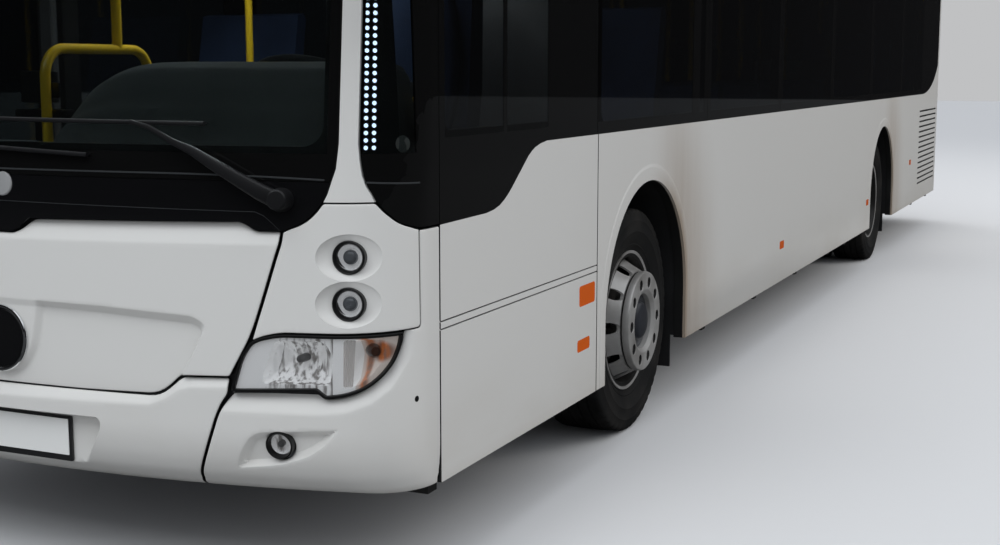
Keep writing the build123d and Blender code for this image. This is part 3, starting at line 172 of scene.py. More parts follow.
def makePaint():
    # colour = white, towards film near the skirt, towards dust behind the arches, dark inside and in seams
    # bump = a raised lip round each arch, from the distance to the arch's centre
    settings = paintSettings
    material = newMaterial("bodyPaint", settings["white"], coat=settings["coat"])
    graph = Graph(material)
    x, y, z = graph.axes()
    side = graph.work("ABSOLUTE", y)
    clouds = graph.ramp(graph.noise(1.6, 5.0, (0.6, 1, 1.6)), 0.3, 0.8)
    film = graph.times(graph.ramp(z, *settings["skirt"], 1.0, 0.0), clouds, settings["filmShare"])
    streaks = graph.ramp(graph.noise(9.0, 4.0, (1.0, 0.2, 0.12)), 0.2, 0.8, 0.72, 1.0)
    over = graph.most(graph.work("SUBTRACT", z, settings["archZ"]), 0.0)
    dusts, lips, distances = [], [], []
    for axle in axles.values():
        run = graph.work("SUBTRACT", x, axle)
        far = graph.radius(run, over)
        wide = graph.times(graph.ramp(far, *settings["wide"], 0.0), streaks)
        near = graph.work("ADD", wide, graph.ramp(far, *settings["rim"], 0.0))
        dusts.append(graph.times(near, graph.ramp(run, *settings["behind"])))
        lips.append(graph.ramp(far, *settings["lip"], 1.0, 0.0))
        distances.append(far)
    foot = graph.times(graph.ramp(z, *settings["foot"], 0.0), streaks)
    dust = graph.work("MINIMUM", graph.work("ADD", graph.most(*dusts), foot), settings["dustMost"])
    color = graph.mix(film, settings["white"], settings["film"])
    color = graph.mix(dust, color, settings["dust"])
    depth = graph.ramp(graph.work("MINIMUM", *distances), *settings["archDepth"], 0.0)
    inner = graph.times(graph.work("LESS_THAN", graph.work("ADD", side, depth), settings["innerSkin"]),
                        graph.work("COMPARE", x, *settings["inside"]),
                        graph.work("LESS_THAN", z, settings["insideTop"]))
    seam = graph.times(graph.work("COMPARE", x, *settings["seam"]),
                       graph.work("LESS_THAN", z, settings["seamTop"]))
    shut = graph.times(graph.work("GREATER_THAN", side, settings["sideSkin"]),
                       graph.most(seam, graph.work("COMPARE", x, *settings["wallEnd"])))
    # near black on the skin's inner faces and in the arches, set by position
    graph.put(graph.mix(graph.most(inner, shut), color, settings["innerBlack"]), graph.sockets["Base Color"])
    graph.put(graph.work("ADD", graph.times(dust, settings["dustRough"]), settings["rough"]),
              graph.sockets["Roughness"])
    outward = graph.work("GREATER_THAN", side, settings["lipSkin"])
    graph.bump(graph.times(graph.most(*lips), outward), 1.0, settings["lipHeight"])
    return material


def makeGlass(name, color, printed):
    # glass where printed(graph) is 0, glossy black print where it is 1
    material = newMaterial(name, color, rough=0.02, glassiness=1.0)
    graph = Graph(material)
    mask = printed(graph)
    graph.put(graph.mix(mask, color, (0.004, 0.004, 0.004)), graph.sockets["Base Color"])
    graph.put(graph.work("SUBTRACT", 1.0, mask), graph.sockets["Transmission Weight"])
    return material


windscreenPrints = {"low": 1.311, "high": 2.36, "pillar": (1.118, 0.043), "rear": 5.458}
sidePrints = {"low": 1.345, "high": 2.30, "rear": -4.66, "nose": 5.30, "front": (4.255, 0.245),
              "divider": (4.862, 0.014), "posts": (2.52, 2.71, 1.03, -0.46, -1.95, -3.44), "half": 0.055}


def windscreenPrint(graph):
    # below the dashboard line, above the display, at the white pillars and at the corner glasses' rear edge
    x, y, z = graph.axes()
    return graph.most(graph.work("LESS_THAN", z, windscreenPrints["low"]),
                      graph.work("GREATER_THAN", z, windscreenPrints["high"]),
                      graph.work("COMPARE", graph.work("ABSOLUTE", y), *windscreenPrints["pillar"]),
                      graph.work("LESS_THAN", x, windscreenPrints["rear"]))


def sidePrint(graph):
    # edges and posts of the bonded side panes
    x, y, z = graph.axes()
    bands = [sidePrints["front"], sidePrints["divider"]]
    bands += [(post, sidePrints["half"]) for post in sidePrints["posts"]]
    return graph.most(graph.work("LESS_THAN", z, sidePrints["low"]),
                      graph.work("GREATER_THAN", z, sidePrints["high"]),
                      graph.work("LESS_THAN", x, sidePrints["rear"]),
                      graph.work("GREATER_THAN", x, sidePrints["nose"]),
                      *[graph.work("COMPARE", x, *band) for band in bands])


def makeGrained(name, color, rough, scale, depth, vary=0.25):
    # colour varies with noise by the share vary, and a fine noise bump gives the grain
    material = newMaterial(name, color, rough)
    graph = Graph(material)
    clouds = graph.ramp(graph.noise(3.0, 5.0), 0.3, 0.7)
    darker = tuple(value * (1 - vary) for value in color)
    graph.put(graph.mix(clouds, darker, color), graph.sockets["Base Color"])
    graph.bump(graph.noise(scale, 2.0), 0.25, depth)
    return material


headSilverSettings = {
    "bright": (0.86, 0.87, 0.88), "dark": (0.24, 0.23, 0.225), "brown": (0.66, 0.585, 0.54),
    "brownFrom": 1.150, "amber": (0.56, 0.17, 0.05), "amberDark": (0.26, 0.14, 0.10),
    "bowlEdge": 1.092, "slant": 0.29, "slantFrom": 0.712,
    "bulb": (1.203, 0.751), "bulbHalo": (0.0003, 0.0012), "strip": 1.169, "stripHalf": (0.003, 0.015),
}


def makeHeadSilver():
    # bright metal with painted streaky darker reflections and a glow in its own colour as a painted
    # reflection; brown outside, amber on a strip and round its bulb, with darker streaks that are painted
    # reflections
    settings = headSilverSettings
    # glow=0.24 makes the unlit bowl give off light: a painted reflection
    material = newMaterial("headSilver", settings["bright"], rough=0.22, metal=0.2, glow=0.24)
    graph = Graph(material)
    x, y, z = graph.axes()
    side = graph.work("ABSOLUTE", y)
    slanted = graph.work("SUBTRACT", side, graph.times(z, settings["slant"]))
    bowl = graph.times(graph.work("LESS_THAN", side, settings["bowlEdge"]),
                       graph.work("GREATER_THAN", slanted, settings["slantFrom"]))
    # painted reflections: dark streaks over the bowl, and darker streaks in the amber below
    paintedReflectionStreaks = graph.ramp(graph.noise(70.0, 2.0, (1.0, 1.0, 0.18)), 0.44, 0.66)
    bands = graph.ramp(graph.noise(60.0, 2.0, (1.0, 1.0, 0.15)), 0.40, 0.62)
    across, above = (graph.work("SUBTRACT", *pair) for pair in zip((side, z), settings["bulb"]))
    square = graph.work("ADD", graph.times(across, across), graph.times(above, above))
    aside = graph.work("ABSOLUTE", graph.work("SUBTRACT", side, settings["strip"]))
    zone = graph.most(graph.ramp(aside, *settings["stripHalf"], 0.9, 0.0),
                      graph.ramp(square, *settings["bulbHalo"], 1.0, 0.0))
    color = graph.mix(graph.times(paintedReflectionStreaks, bowl), settings["bright"], settings["dark"])
    color = graph.mix(graph.work("GREATER_THAN", side, settings["brownFrom"]), color, settings["brown"])
    color = graph.mix(zone, color, graph.mix(bands, settings["amber"], settings["amberDark"]))
    graph.put(color, graph.sockets["Base Color"])
    graph.put(color, graph.sockets["Emission Color"])
    return material


def makeTyre():
    # dark rubber in two shades, and a fine grain
    material = newMaterial("tyreRubber", (0.022, 0.022, 0.022), rough=0.72)
    graph = Graph(material)
    clouds = graph.ramp(graph.noise(6.0, 6.0), 0.35, 0.75)
    graph.put(graph.mix(clouds, (0.009, 0.009, 0.009), (0.022, 0.020, 0.018)), graph.sockets["Base Color"])
    graph.bump(graph.noise(220.0, 2.0), 0.2, 0.002)
    return material


wheelSettings = {"silver": (0.54, 0.53, 0.515), "soiled": (0.27, 0.255, 0.24), "barrelShade": (0.03, 0.029, 0.028),
                 "barrelRadius": (0.2725, 0.0135)}


def makeWheelSilver():
    # silver soiled by clouds; the barrel between disc and rim edge is painted dark as its shade, by distance
    # to the nearer axle
    material = newMaterial("wheelSilver", wheelSettings["silver"], rough=0.36, metal=0.5)
    graph = Graph(material)
    x, y, z = graph.axes()
    rise = graph.work("SUBTRACT", z, wheelHeight)
    radii = [graph.radius(graph.work("SUBTRACT", x, axle), rise) for axle in axles.values()]
    barrelShade = graph.work("COMPARE", graph.work("MINIMUM", *radii), *wheelSettings["barrelRadius"])
    clouds = graph.ramp(graph.noise(5.0, 5.0), 0.35, 0.75)
    color = graph.mix(clouds, wheelSettings["silver"], wheelSettings["soiled"])
    # painted shade: near black over the barrel's radii
    graph.put(graph.mix(barrelShade, color, wheelSettings["barrelShade"]), graph.sockets["Base Color"])
    graph.bump(graph.noise(90.0, 2.0), 0.2, 0.0006)
    return material


paint = makePaint()
blackPanel = newMaterial("blackPanel", (0.004, 0.004, 0.0045), rough=0.14)
blackTrim = makeGrained("blackTrim", (0.018, 0.018, 0.019), 0.48, 260.0, 0.0006)
windscreenGlass = makeGlass("windscreenGlass", (0.50, 0.56, 0.55), windscreenPrint)
sideGlass = makeGlass("sideGlass", (0.26, 0.28, 0.285), sidePrint)
doorGlass = newMaterial("doorGlass", (0.10, 0.115, 0.12), rough=0.0, glassiness=1.0)
clearLens = newMaterial("clearLens", (0.02, 0.02, 0.02), rough=0.02, coat=1.0, alpha=0.16)
ribbedLens = newMaterial("ribbedLens", (0.62, 0.59, 0.56), rough=0.08, coat=1.0, alpha=0.45)
domeGlass = newMaterial("domeGlass", (0.17, 0.185, 0.20), rough=0.10, metal=0.4, coat=1.0)
redLens = newMaterial("redLens", (0.42, 0.012, 0.01), rough=0.12, coat=0.6)
amberLens = newMaterial("amberLens", (0.72, 0.115, 0.004), rough=0.2, coat=0.25)
bulbAmber = newMaterial("bulbAmber", (0.045, 0.014, 0.006), rough=0.15, coat=0.5)
headSilver = makeHeadSilver()
# reflector metal glows in its own colour though the lamps are off: a painted reflection
reflectorMetal = newMaterial("reflectorMetal", (0.82, 0.83, 0.84), rough=0.20, metal=0.3, glow=0.16)
chrome = newMaterial("chrome", (0.86, 0.87, 0.88), rough=0.08, metal=1.0)
ledGlow = newMaterial("ledGlow", (0.62, 0.74, 1.0), rough=0.3, glow=2.6)
ledBoard = newMaterial("ledBoard", (0.06, 0.09, 0.26), rough=0.5, glow=0.45)
greyPlastic = makeGrained("greyPlastic", (0.34, 0.34, 0.34), 0.55, 300.0, 0.0005)
greyDark = newMaterial("greyDark", (0.10, 0.10, 0.10), rough=0.4)
dashPlastic = makeGrained("dashPlastic", (0.085, 0.09, 0.095), 0.6, 240.0, 0.0008)
ringBlack = newMaterial("ringBlack", (0.006, 0.006, 0.006), rough=0.35)
shutBlack = newMaterial("shutBlack", (0.004, 0.004, 0.004), rough=0.8)
# grey of the thin strips on the cowl's edges: a painted highlight
edgeHighlightGrey = newMaterial("edgeHighlightGrey", (0.035, 0.038, 0.04), rough=0.3)
wiperBlack = makeGrained("wiperBlack", (0.009, 0.009, 0.010), 0.42, 260.0, 0.0004)
plateWhite = newMaterial("plateWhite", (0.82, 0.82, 0.80), rough=0.35, coat=0.3)
floorCover = makeGrained("floorCover", (0.16, 0.17, 0.19), 0.7, 180.0, 0.0008)
seatFabric = makeGrained("seatFabric", (0.035, 0.05, 0.10), 0.9, 420.0, 0.001, vary=0.45)
yellowPaint = newMaterial("yellowPaint", (0.80, 0.50, 0.02), rough=0.3, coat=0.4)
doorMetal = makeGrained("doorMetal", (0.05, 0.05, 0.052), 0.42, 200.0, 0.0004)
chassisBlack = makeGrained("chassisBlack", (0.025, 0.024, 0.023), 0.7, 60.0, 0.002)
axleGrey = makeGrained("axleGrey", (0.09, 0.085, 0.08), 0.7, 80.0, 0.002)
hubDark = makeGrained("hubDark", (0.03, 0.032, 0.038), 0.3, 90.0, 0.0006)
wheelSilver = makeWheelSilver()
tyreRubber = makeTyre()
print("materials made")

slotMaterials = {
    "body_paint": paint, "black_panel": blackPanel, "black_trim": blackTrim, "tinted_glass": windscreenGlass,
    "dark_glass": sideGlass, "door_glass": doorGlass, "clear_lens": clearLens, "lamp_housing": reflectorMetal,
    "red_lens": redLens, "amber_lens": amberLens, "grey_plastic": greyPlastic, "dash_plastic": dashPlastic,
    "floor_cover": floorCover, "seat_fabric": seatFabric, "yellow_paint": yellowPaint,
    "door_metal": doorMetal, "chassis_black": chassisBlack, "axle_grey": axleGrey, "engine_grey": axleGrey,
    "tyre": tyreRubber, "wheel_silver": wheelSilver,
}


def makeSmoother(mergeWithin=0.00002, sharpAbove=28):
    # points nearer than mergeWithin become one, faces turn smooth, edges over sharpAbove degrees stay sharp
    group = bpy.data.node_groups.new("smoothFaces", "GeometryNodeTree")
    group.interface.new_socket(name="Geometry", in_out="INPUT", socket_type="NodeSocketGeometry")
    group.interface.new_socket(name="Geometry", in_out="OUTPUT", socket_type="NodeSocketGeometry")
    place, join = group.nodes.new, group.links.new
    entry, leave = place("NodeGroupInput"), place("NodeGroupOutput")
    merge = place("GeometryNodeMergeByDistance")
    merge.inputs["Distance"].default_value = mergeWithin
    faces, edges = place("GeometryNodeSetShadeSmooth"), place("GeometryNodeSetShadeSmooth")
    faces.domain, edges.domain = "FACE", "EDGE"
    edges.inputs["Shade Smooth"].default_value = False
    angle, above = place("GeometryNodeInputMeshEdgeAngle"), place("FunctionNodeCompare")
    above.operation = "GREATER_THAN"
    above.inputs["B"].default_value = math.radians(sharpAbove)
    join(entry.outputs[0], merge.inputs[0])
    join(merge.outputs[0], faces.inputs[0])
    join(faces.outputs[0], edges.inputs[0])
    join(angle.outputs["Unsigned Angle"], above.inputs["A"])
    join(above.outputs["Result"], edges.inputs["Selection"])
    join(edges.outputs[0], leave.inputs[0])
    return group


smoother = makeSmoother()
slotOf = {row["node"]: row["material_slot"] for row in frame["record"]["subparts"]}
for nodeName, nodeObject in nodes.items():
    for materialSlot in nodeObject.material_slots:
        materialSlot.link = "OBJECT"
        materialSlot.material = slotMaterials[slotOf[nodeName]]
    nodeObject.modifiers.new("smoothFaces", "NODES").node_group = smoother
print("nodes dressed")


# Meshes from numpy arrays
def addMesh(name, points, faces, material, body="body"):
    # a smooth-shaded piece with its place in its mesh, riding on a body
    mesh = bpy.data.meshes.new(name)
    mesh.from_pydata(np.asarray(points, float).tolist(), [], [tuple(face) for face in faces])
    mesh.materials.append(material)
    piece = bpy.data.objects.new(name, mesh)
    scene.collection.objects.link(piece)
    piece.modifiers.new("smoothFaces", "NODES").node_group = smoother
    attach(piece, body)
    return piece


def gridFaces(rows, columns, start=0, around=False):
    # quads of a rows by columns grid of points, closed across the columns if around
    corner = start + np.arange(rows * columns).reshape(rows, columns)
    beside = np.roll(corner, -1, 1)
    quads = np.stack([corner[:-1], beside[:-1], beside[1:], corner[1:]], -1)
    return (quads if around else quads[:, :-1]).reshape(-1, 4).tolist()


# Small pieces: turned forms, swept bars and rounded boxes
def axesOf(normal):
    # the unit normal and two unit vectors square to it, the second one pointing mostly up
    normal = np.asarray(normal, float) / np.linalg.norm(normal)
    first = np.cross((0, 0, 1), normal)
    first = np.array((1.0, 0, 0)) if np.linalg.norm(first) < 1e-6 else first / np.linalg.norm(first)
    return normal, first, np.cross(normal, first)


def turnedPoints(profile, centre, normal, steps):
    # point = centre + height * normal + radius * circle, for each (radius, height) row of the profile
    normal, first, second = axesOf(normal)
    turns = np.linspace(0, 2 * np.pi, steps, endpoint=False)[:, None]
    circle = np.cos(turns) * first + np.sin(turns) * second
    radius, height = np.array(profile, float).T[:, :, None, None]
    return (np.asarray(centre) + height * normal + np.maximum(radius, 1e-5) * circle).reshape(-1, 3)


def turned(name, profile, places, material, body="body", steps=48):
    # one mesh of turned forms, one per (centre, normal)
    count = len(profile) * steps
    points = [turnedPoints(profile, centre, normal, steps) for centre, normal in places]
    faces = []
    for number in range(len(places)):
        faces += gridFaces(len(profile), steps, number * count, around=True)
    return addMesh(name, np.concatenate(points), faces, material, body)


def swept(name, bars, material, body="body"):
    # point = centre + a * side + b * up, for each (a, b) of the section at each centre, with end caps
    points, faces, start = [], [], 0
    for centres, sides, ups, sections in bars:
        count, around = len(centres), len(sections[0])
        for centre, side, up, section in zip(centres, sides, ups, sections):
            across, above = np.array(section).T[:, :, None]
            points.append(centre + across * side + above * up)
        faces += gridFaces(count, around, start, around=True)
        faces.append(range(start + around - 1, start - 1, -1))
        faces.append(range(start + (count - 1) * around, start + count * around))
        start += count * around
    return addMesh(name, np.concatenate(points), faces, material, body)


def straightBar(centres, side, up, sections):
    # a bar for swept: one section per centre, all with the same side and up vectors
    return centres, [np.array(side, float)] * len(sections), [np.array(up, float)] * len(sections), sections


def roundedSection(width, height, radius, steps=3):
    # rounded rectangle as (side, up) rows: four quarter circles about the inner corners
    rows = []
    for number, (a, b) in enumerate(((1, 1), (-1, 1), (-1, -1), (1, -1))):
        turns = math.pi / 2 * (number + np.arange(steps + 1) / steps)
        rows.append(np.stack([a * (width / 2 - radius) + radius * np.cos(turns),
                              b * (height / 2 - radius) + radius * np.sin(turns)], 1))
    return np.concatenate(rows)


def roundedBoxes(name, rows, material, radius=0.006):
    # rows of (centre, size) boxes along the axes, their edges rounded by sweeping a rounded section
    bars = []
    for centre, (length, width, height) in rows:
        marks = [(-0.5 * length, 0.6), (-0.5 * length + radius * 0.3, 0.88), (-0.5 * length + radius, 1.0)]
        marks += [(-place, share) for place, share in reversed(marks)]
        sections = [roundedSection(width - 2 * radius * (1 - share), height - 2 * radius * (1 - share),
                                   radius * max(share - 0.1, 0.4)) for place, share in marks]
        centres = [np.array(centre) + np.array((place, 0, 0)) for place, share in marks]
        bars.append(straightBar(centres, (0, 1, 0), (0, 0, 1), sections))
    return swept(name, bars, material)


# The front surface, with the same numbers as the CAD: height, setback, tuck, corner radius
noseRows = np.array([(0.312, 0.130, 0.010, 0.185), (0.345, 0.066, 0.005, 0.225), (0.400, 0.022, 0, 0.250),
                     (0.480, 0, 0, 0.262), (0.640, 0, 0, 0.262), (1.175, 0.024, 0, 0.262),
                     (1.900, 0.085, 0, 0.240), (2.640, 0.150, 0, 0.160)])
noseX, halfWidth, wideRadius = 5.81, 1.275, 4.2
softSettings = {"window": 0.035, "high": 0.60, "fade": 0.06}  # rows are averaged over the window below high
fineHeights = np.linspace(noseRows[0, 0], noseRows[-1, 0], 500)
softFade = np.clip((softSettings["high"] - fineHeights) / softSettings["fade"], 0, 1)
softWindow = (softSettings["window"] * softFade
              * np.clip((fineHeights - noseRows[0, 0]) / softSettings["window"], 0, 1))
fineColumns = [np.mean([np.interp(fineHeights + softWindow * shift, noseRows[:, 0], noseRows[:, column])
                        for shift in np.linspace(-1, 1, 9)], 0) for column in (1, 2, 3)]


def planShape(z):
    # per height: foremost x, corner radius, half flat width, arc angle, corner centre x, lengths to the joins
    setback, tuck, corner = (np.interp(z, fineHeights, column) for column in fineColumns)
    tip, flat = noseX - setback, halfWidth - tuck - corner
    angle = np.arcsin(flat / (wideRadius - corner))
    centre = tip - wideRadius + (wideRadius - corner) * np.cos(angle)
    first = wideRadius * angle
    return tip, corner, flat, angle, centre, first, first + corner * (np.pi / 2 - angle)


def frontPoint(s, z, inset=0.0):
    # the point at arc length s round the plan curve and height z, drawn in by inset along the plan normal:
    # a wide arc, then the corner's arc, then straight back along the side
    s, z, inset = np.broadcast_arrays(np.asarray(s, float), np.asarray(z, float), np.asarray(inset, float))
    tip, corner, flat, angle, centre, first, second = planShape(z)
    side, length = np.sign(s), np.abs(s)
    wide = length / wideRadius
    turn = angle + (length - first) / corner
    x = np.where(length < first, tip - wideRadius + (wideRadius - inset) * np.cos(wide),
                 np.where(length < second, centre + (corner - inset) * np.cos(turn),
                          centre - (length - second)))
    y = np.where(length < first, (wideRadius - inset) * np.sin(wide),
                 np.where(length < second, flat + (corner - inset) * np.sin(turn), flat + corner - inset))
    return np.stack([x, side * y, z], -1)


def frameAt(s, z, lift=0.0, step=0.002):
    # point, direction along the front, direction up the front and outward normal
    along = frontPoint(s + step, z) - frontPoint(s - step, z)
    up = frontPoint(s, z + step) - frontPoint(s, z - step)
    along, up = along / np.linalg.norm(along), up / np.linalg.norm(up)
    return frontPoint(s, z, -lift), along, up, np.cross(along, up)


def lengthAt(y, z):
    # arc length of the point at y on the front, negative on the right
    tip, corner, flat, angle, centre, first, second = planShape(z)
    if abs(y) < wideRadius * math.sin(angle):
        return wideRadius * math.asin(y / wideRadius)
    return math.copysign(first + corner * (math.asin(min(1, (abs(y) - flat) / corner)) - angle), y)


def lengthAtX(x, z):
    # arc length of the point at x on the flat side behind the corner
    tip, corner, flat, angle, centre, first, second = planShape(z)
    return float(second + centre - x)


def placeAt(y, z, lift=0.0):
    # point lifted off the front at y and z, and the outward normal there
    point, _, _, normal = frameAt(lengthAt(y, z), z, lift)
    return point, normal


def onBothSides(point, normal):
    # the place and its mirror image
    return [(np.array(point) * (1, sign, 1), np.array(normal) * (1, sign, 1)) for sign in (1, -1)]


# Outlines on the front, in arc length s and height z
def filleted(points, spacing=0.008):
    # closed outline of (s, z, radius): corners rounded by a parabola over their radius, edges split evenly
    line = []
    count = len(points)
    for i, (s, z, radius) in enumerate(points):
        here = np.array((s, z))
        back = np.array(points[i - 1][:2]) - here
        ahead = np.array(points[(i + 1) % count][:2]) - here
        cut = min(radius, 0.45 * np.linalg.norm(back), 0.45 * np.linalg.norm(ahead))
        start = here + back / np.linalg.norm(back) * cut
        end = here + ahead / np.linalg.norm(ahead) * cut
        line += [(1 - t) ** 2 * start + 2 * t * (1 - t) * here + t * t * end for t in np.linspace(0, 1, 5)]
    split = []
    for here, ahead in zip(line, line[1:] + line[:1]):
        gap = np.linalg.norm(ahead - here)
        if gap > 1e-5:
            share = 1 / max(1, math.ceil(gap / spacing))
            split += [here + (ahead - here) * t for t in np.arange(0, 1, share)]
    return np.array(split)


def distanceTo(points, outline):
    # distance of each point to a closed outline, negative inside
    best = np.full(len(points), 1e9)
    inside = np.zeros(len(points), bool)
    for (ax, ay), (bx, by) in zip(outline, np.roll(outline, -1, 0)):
        dx, dy = bx - ax, by - ay
        t = np.clip(((points[:, 0] - ax) * dx + (points[:, 1] - ay) * dy) / (dx * dx + dy * dy + 1e-18), 0, 1)
        best = np.minimum(best, np.hypot(points[:, 0] - ax - t * dx, points[:, 1] - ay - t * dy))
        crosses = (ay > points[:, 1]) != (by > points[:, 1])
        at = ax + (points[:, 1] - ay) * dx / (dy if dy else 1e-18)
        inside ^= crosses & (points[:, 0] < at)
    return np.where(inside, -best, best)


def within(points, outline, holes, margin):
    # true for points inside the outline and outside every hole, by more than the margin
    keep = distanceTo(points, outline) < -margin
    for hole in holes:
        keep &= distanceTo(points, hole) > margin
    return keep


def drawnIn(outline, amount):
    # outline moved inwards by amount along its averaged normals
    before, after = np.roll(outline, 1, 0), np.roll(outline, -1, 0)
    along = after - before
    along /= np.linalg.norm(along, axis=1)[:, None] + 1e-12
    area = np.sum(outline[:, 0] * after[:, 1] - after[:, 0] * outline[:, 1])
    return outline + amount * np.sign(area) * np.stack([-along[:, 1], along[:, 0]], 1)


def besides(outline, amounts, tolerance=0.0006):
    # lines beside an outline, inwards for positive amounts, without the loops at its tight corners
    lines = []
    for amount in amounts:
        line = drawnIn(outline, amount)
        lines.append(line[np.abs(distanceTo(line, outline) + amount) < tolerance])
    return lines


def linesOver(run, heights, shifts=(0.0, 0.004, 0.009)):
    # a line of heights over the run, and the same line shifted up
    return [np.stack([run, heights + shift], 1) for shift in shifts]


def frontOutline(points, spacing=0.008):
    # (y, z, radius) or ("x", x, z, radius) rows to a filleted outline in (s, z)
    rows = []
    for row, ahead in zip(points, points[1:] + points[:1]):
        if row[0] != "x":
            rows.append((lengthAt(row[0], row[1]), row[1], row[2]))
            continue
        rows.append((lengthAtX(row[1], row[2]), row[2], row[3]))
        if ahead[0] == "x":  # an upright edge on the flat side follows the plan curve in short steps
            steps = int(abs(ahead[2] - row[2]) / 0.03) + 1
            for share in np.arange(1, steps) / steps:
                x, z = row[1] + (ahead[1] - row[1]) * share, row[2] + (ahead[2] - row[2]) * share
                rows.append((lengthAtX(x, z), z, 0))
    return filleted(rows, spacing)


def bothHalves(points):
    # rows of the half at positive y, joined to their mirror image
    return points + [(-row[0], *row[1:]) for row in reversed(points) if row[0] > 0]


def circleOutline(s, z, radius, steps=48, tall=None):
    # circle about (s, z), or an ellipse if tall gives its upright radius
    turns = np.linspace(0, 2 * np.pi, steps, endpoint=False)
    return np.stack([s + radius * np.cos(turns), z + (tall or radius) * np.sin(turns)], 1)


def flipped(outline):
    # mirror image, turned back to run the same way round
    return outline[::-1] * np.array((-1, 1))


# Shapes of a depth over the front
def soft(value, low, high):
    # 0 below low, 1 above high, smooth between
    t = np.clip((value - low) / (high - low), 0, 1)
    return t * t * (3 - 2 * t)


def eased(share, ends):
    # 0 to 1 in a straight slope whose two ends are rounded over the given share
    t, e = np.clip(share, 0, 1), np.clip(ends, 1e-6, 0.5)
    above = np.where(t > 1 - e, 1 - e - (1 - t) ** 2 / (2 * e), t - e / 2)
    straight = np.where(t < e, t * t / (2 * e), above)
    return straight / (1 - e)


def leaned(over, lean, knee):
    # 0 below a crease, and above it a slope of lean that begins softly over the knee
    return lean * np.where(over > 0, over * over / (np.abs(over) + knee), 0)


def triangulated(points, links, outline, holes):
    # constrained triangles over flat points, kept where their middles lie in the outline and in no hole
    ends, _, triangles, *_ = delaunay_2d_cdt([Vector(point) for point in points], links, [], 1, 1e-7)
    flat = np.array([tuple(point) for point in ends])
    triangles = [face for face in triangles if len(face) == 3]
    good = within(flat[np.array(triangles)].mean(1), outline, holes, 0)
    return flat, [face for face, ok in zip(triangles, good) if ok]


def ringLinks(base, count):
    # a closed chain of point numbers
    return [(base + i, base + (i + 1) % count) for i in range(count)]


def panel(name, outline, depth, material, body="body", slot="body_paint", holes=(), creases=(), spacing=0.012,
          edge=0.004, wall=0.022, closed=False):
    # a sheet over an outline in (s, z), drawn in by depth(s, z), its edges rounded and turned inwards by wall
    points, links = [], []
    for number, loop in enumerate([outline] + list(holes)):
        for offset in (0.0, edge * 0.25, edge * 0.6, edge):
            ring = drawnIn(loop, offset if number == 0 else -offset)
            if offset == 0:
                links += ringLinks(sum(len(part) for part in points), len(ring))
            points.append(ring)
    low, high = outline.min(0), outline.max(0)
    s, z = np.meshgrid(np.arange(low[0], high[0], spacing), np.arange(low[1], high[1], spacing * 0.87))
    s[1::2] += spacing / 2
    lattice = np.stack([s.ravel(), z.ravel()], 1)
    keep = within(lattice, outline, holes, edge + spacing * 0.5)
    for crease in creases:
        clear = within(crease, outline, holes, edge + 0.002)
        spots = np.cumsum(clear) - 1 + sum(len(part) for part in points)
        short = np.linalg.norm(np.roll(crease, -1, 0) - crease, axis=1) < 0.03
        joined = clear & np.roll(clear, -1) & short
        links += [tuple(pair) for pair in np.stack([spots, np.roll(spots, -1)], 1)[joined].tolist()]
        points.append(crease[clear])
        keep &= np.abs(distanceTo(lattice, crease)) > spacing * 0.4
    flat, triangles = triangulated(np.concatenate(points + [lattice[keep]]), links, outline, holes)
    rim = np.min([np.abs(distanceTo(flat, loop)) for loop in [outline] + list(holes)], 0)
    rounding = edge - np.sqrt(np.maximum(edge ** 2 - np.maximum(edge - rim, 0) ** 2, 0))
    inset = depth(flat[:, 0], flat[:, 1]) + rounding
    upper, lower = frontPoint(flat[:, 0], flat[:, 1], inset), frontPoint(flat[:, 0], flat[:, 1], inset + wall)
    count = len(flat)
    used = {(a, b) for face in triangles for a, b in zip(face, face[1:] + face[:1])}
    border = [pair for face in triangles for pair in zip(face, face[1:] + face[:1]) if pair[::-1] not in used]
    if closed:
        faces = triangles + [(a + count, c + count, b + count) for a, b, c in triangles]
        faces += [(a, a + count, b + count, b) for a, b in border]
    else:
        rimPoints = sorted({point for pair in border for point in pair})
        place = {point: count + i for i, point in enumerate(rimPoints)}
        faces = triangles + [(a, place[a], place[b], b) for a, b in border]
        lower = lower[rimPoints]
    piece = addMesh(name, np.concatenate([upper, lower]), faces, material, body)
    if material is paint:  # the returned edges stay dark, as shut lines
        piece.data.materials.append(shutBlack)
        skirt = np.arange(len(faces)) >= len(triangles)
        piece.data.polygons.foreach_set("material_index", skirt.astype(np.int32))
    return piece


def panelOn(side, name, outline, depth, material, node=None, holes=(), creases=(), **options):
    # a panel drawn for the left, or its mirror image; the left one stands for the CAD's node
    pick = flipped if side == "Right" else lambda loop: loop
    piece = panel(name + side, pick(outline), depth, material, holes=[pick(hole) for hole in holes],
                  creases=[pick(line) for line in creases], **options)
    if node and side == "Left":
        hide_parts(node)


# Front flap: shoulder above the crease, pressed recess with a boss for the blank badge
flapSettings = {"creaseSpan": (0, 0.95), "crease": (1.040, 1.052), "run": 0.94, "lean": 0.46, "knee": 0.006,
                "recess": 0.025, "boss": 0.022, "bossShare": 0.72, "round": 0.004,
                "badgeY": 0.018, "badgeZ": 0.740, "badgeSink": 0.0065}
flapRows = bothHalves([(0, 1.060, 0), (0.075, 1.060, 0.012), (0.103, 1.073, 0.02), (0.137, 1.102, 0.02),
                       (0.824, 1.115, 0.02), (0.845, 1.105, 0.01), (0.872, 1.090, 0.012),
                       (0.942, 1.090, 0.006), (0.941, 1.060, 0.02), (0.927, 1.017, 0.03),
                       (0.913, 0.969, 0.03), (0.890, 0.892, 0.03),
                       (0.869, 0.825, 0.03), (0.851, 0.779, 0.03), (0.796, 0.675, 0.006),
                       (0.640, 0.670, 0.02), (0.570, 0.606, 0.05), (0.30, 0.602, 0)])
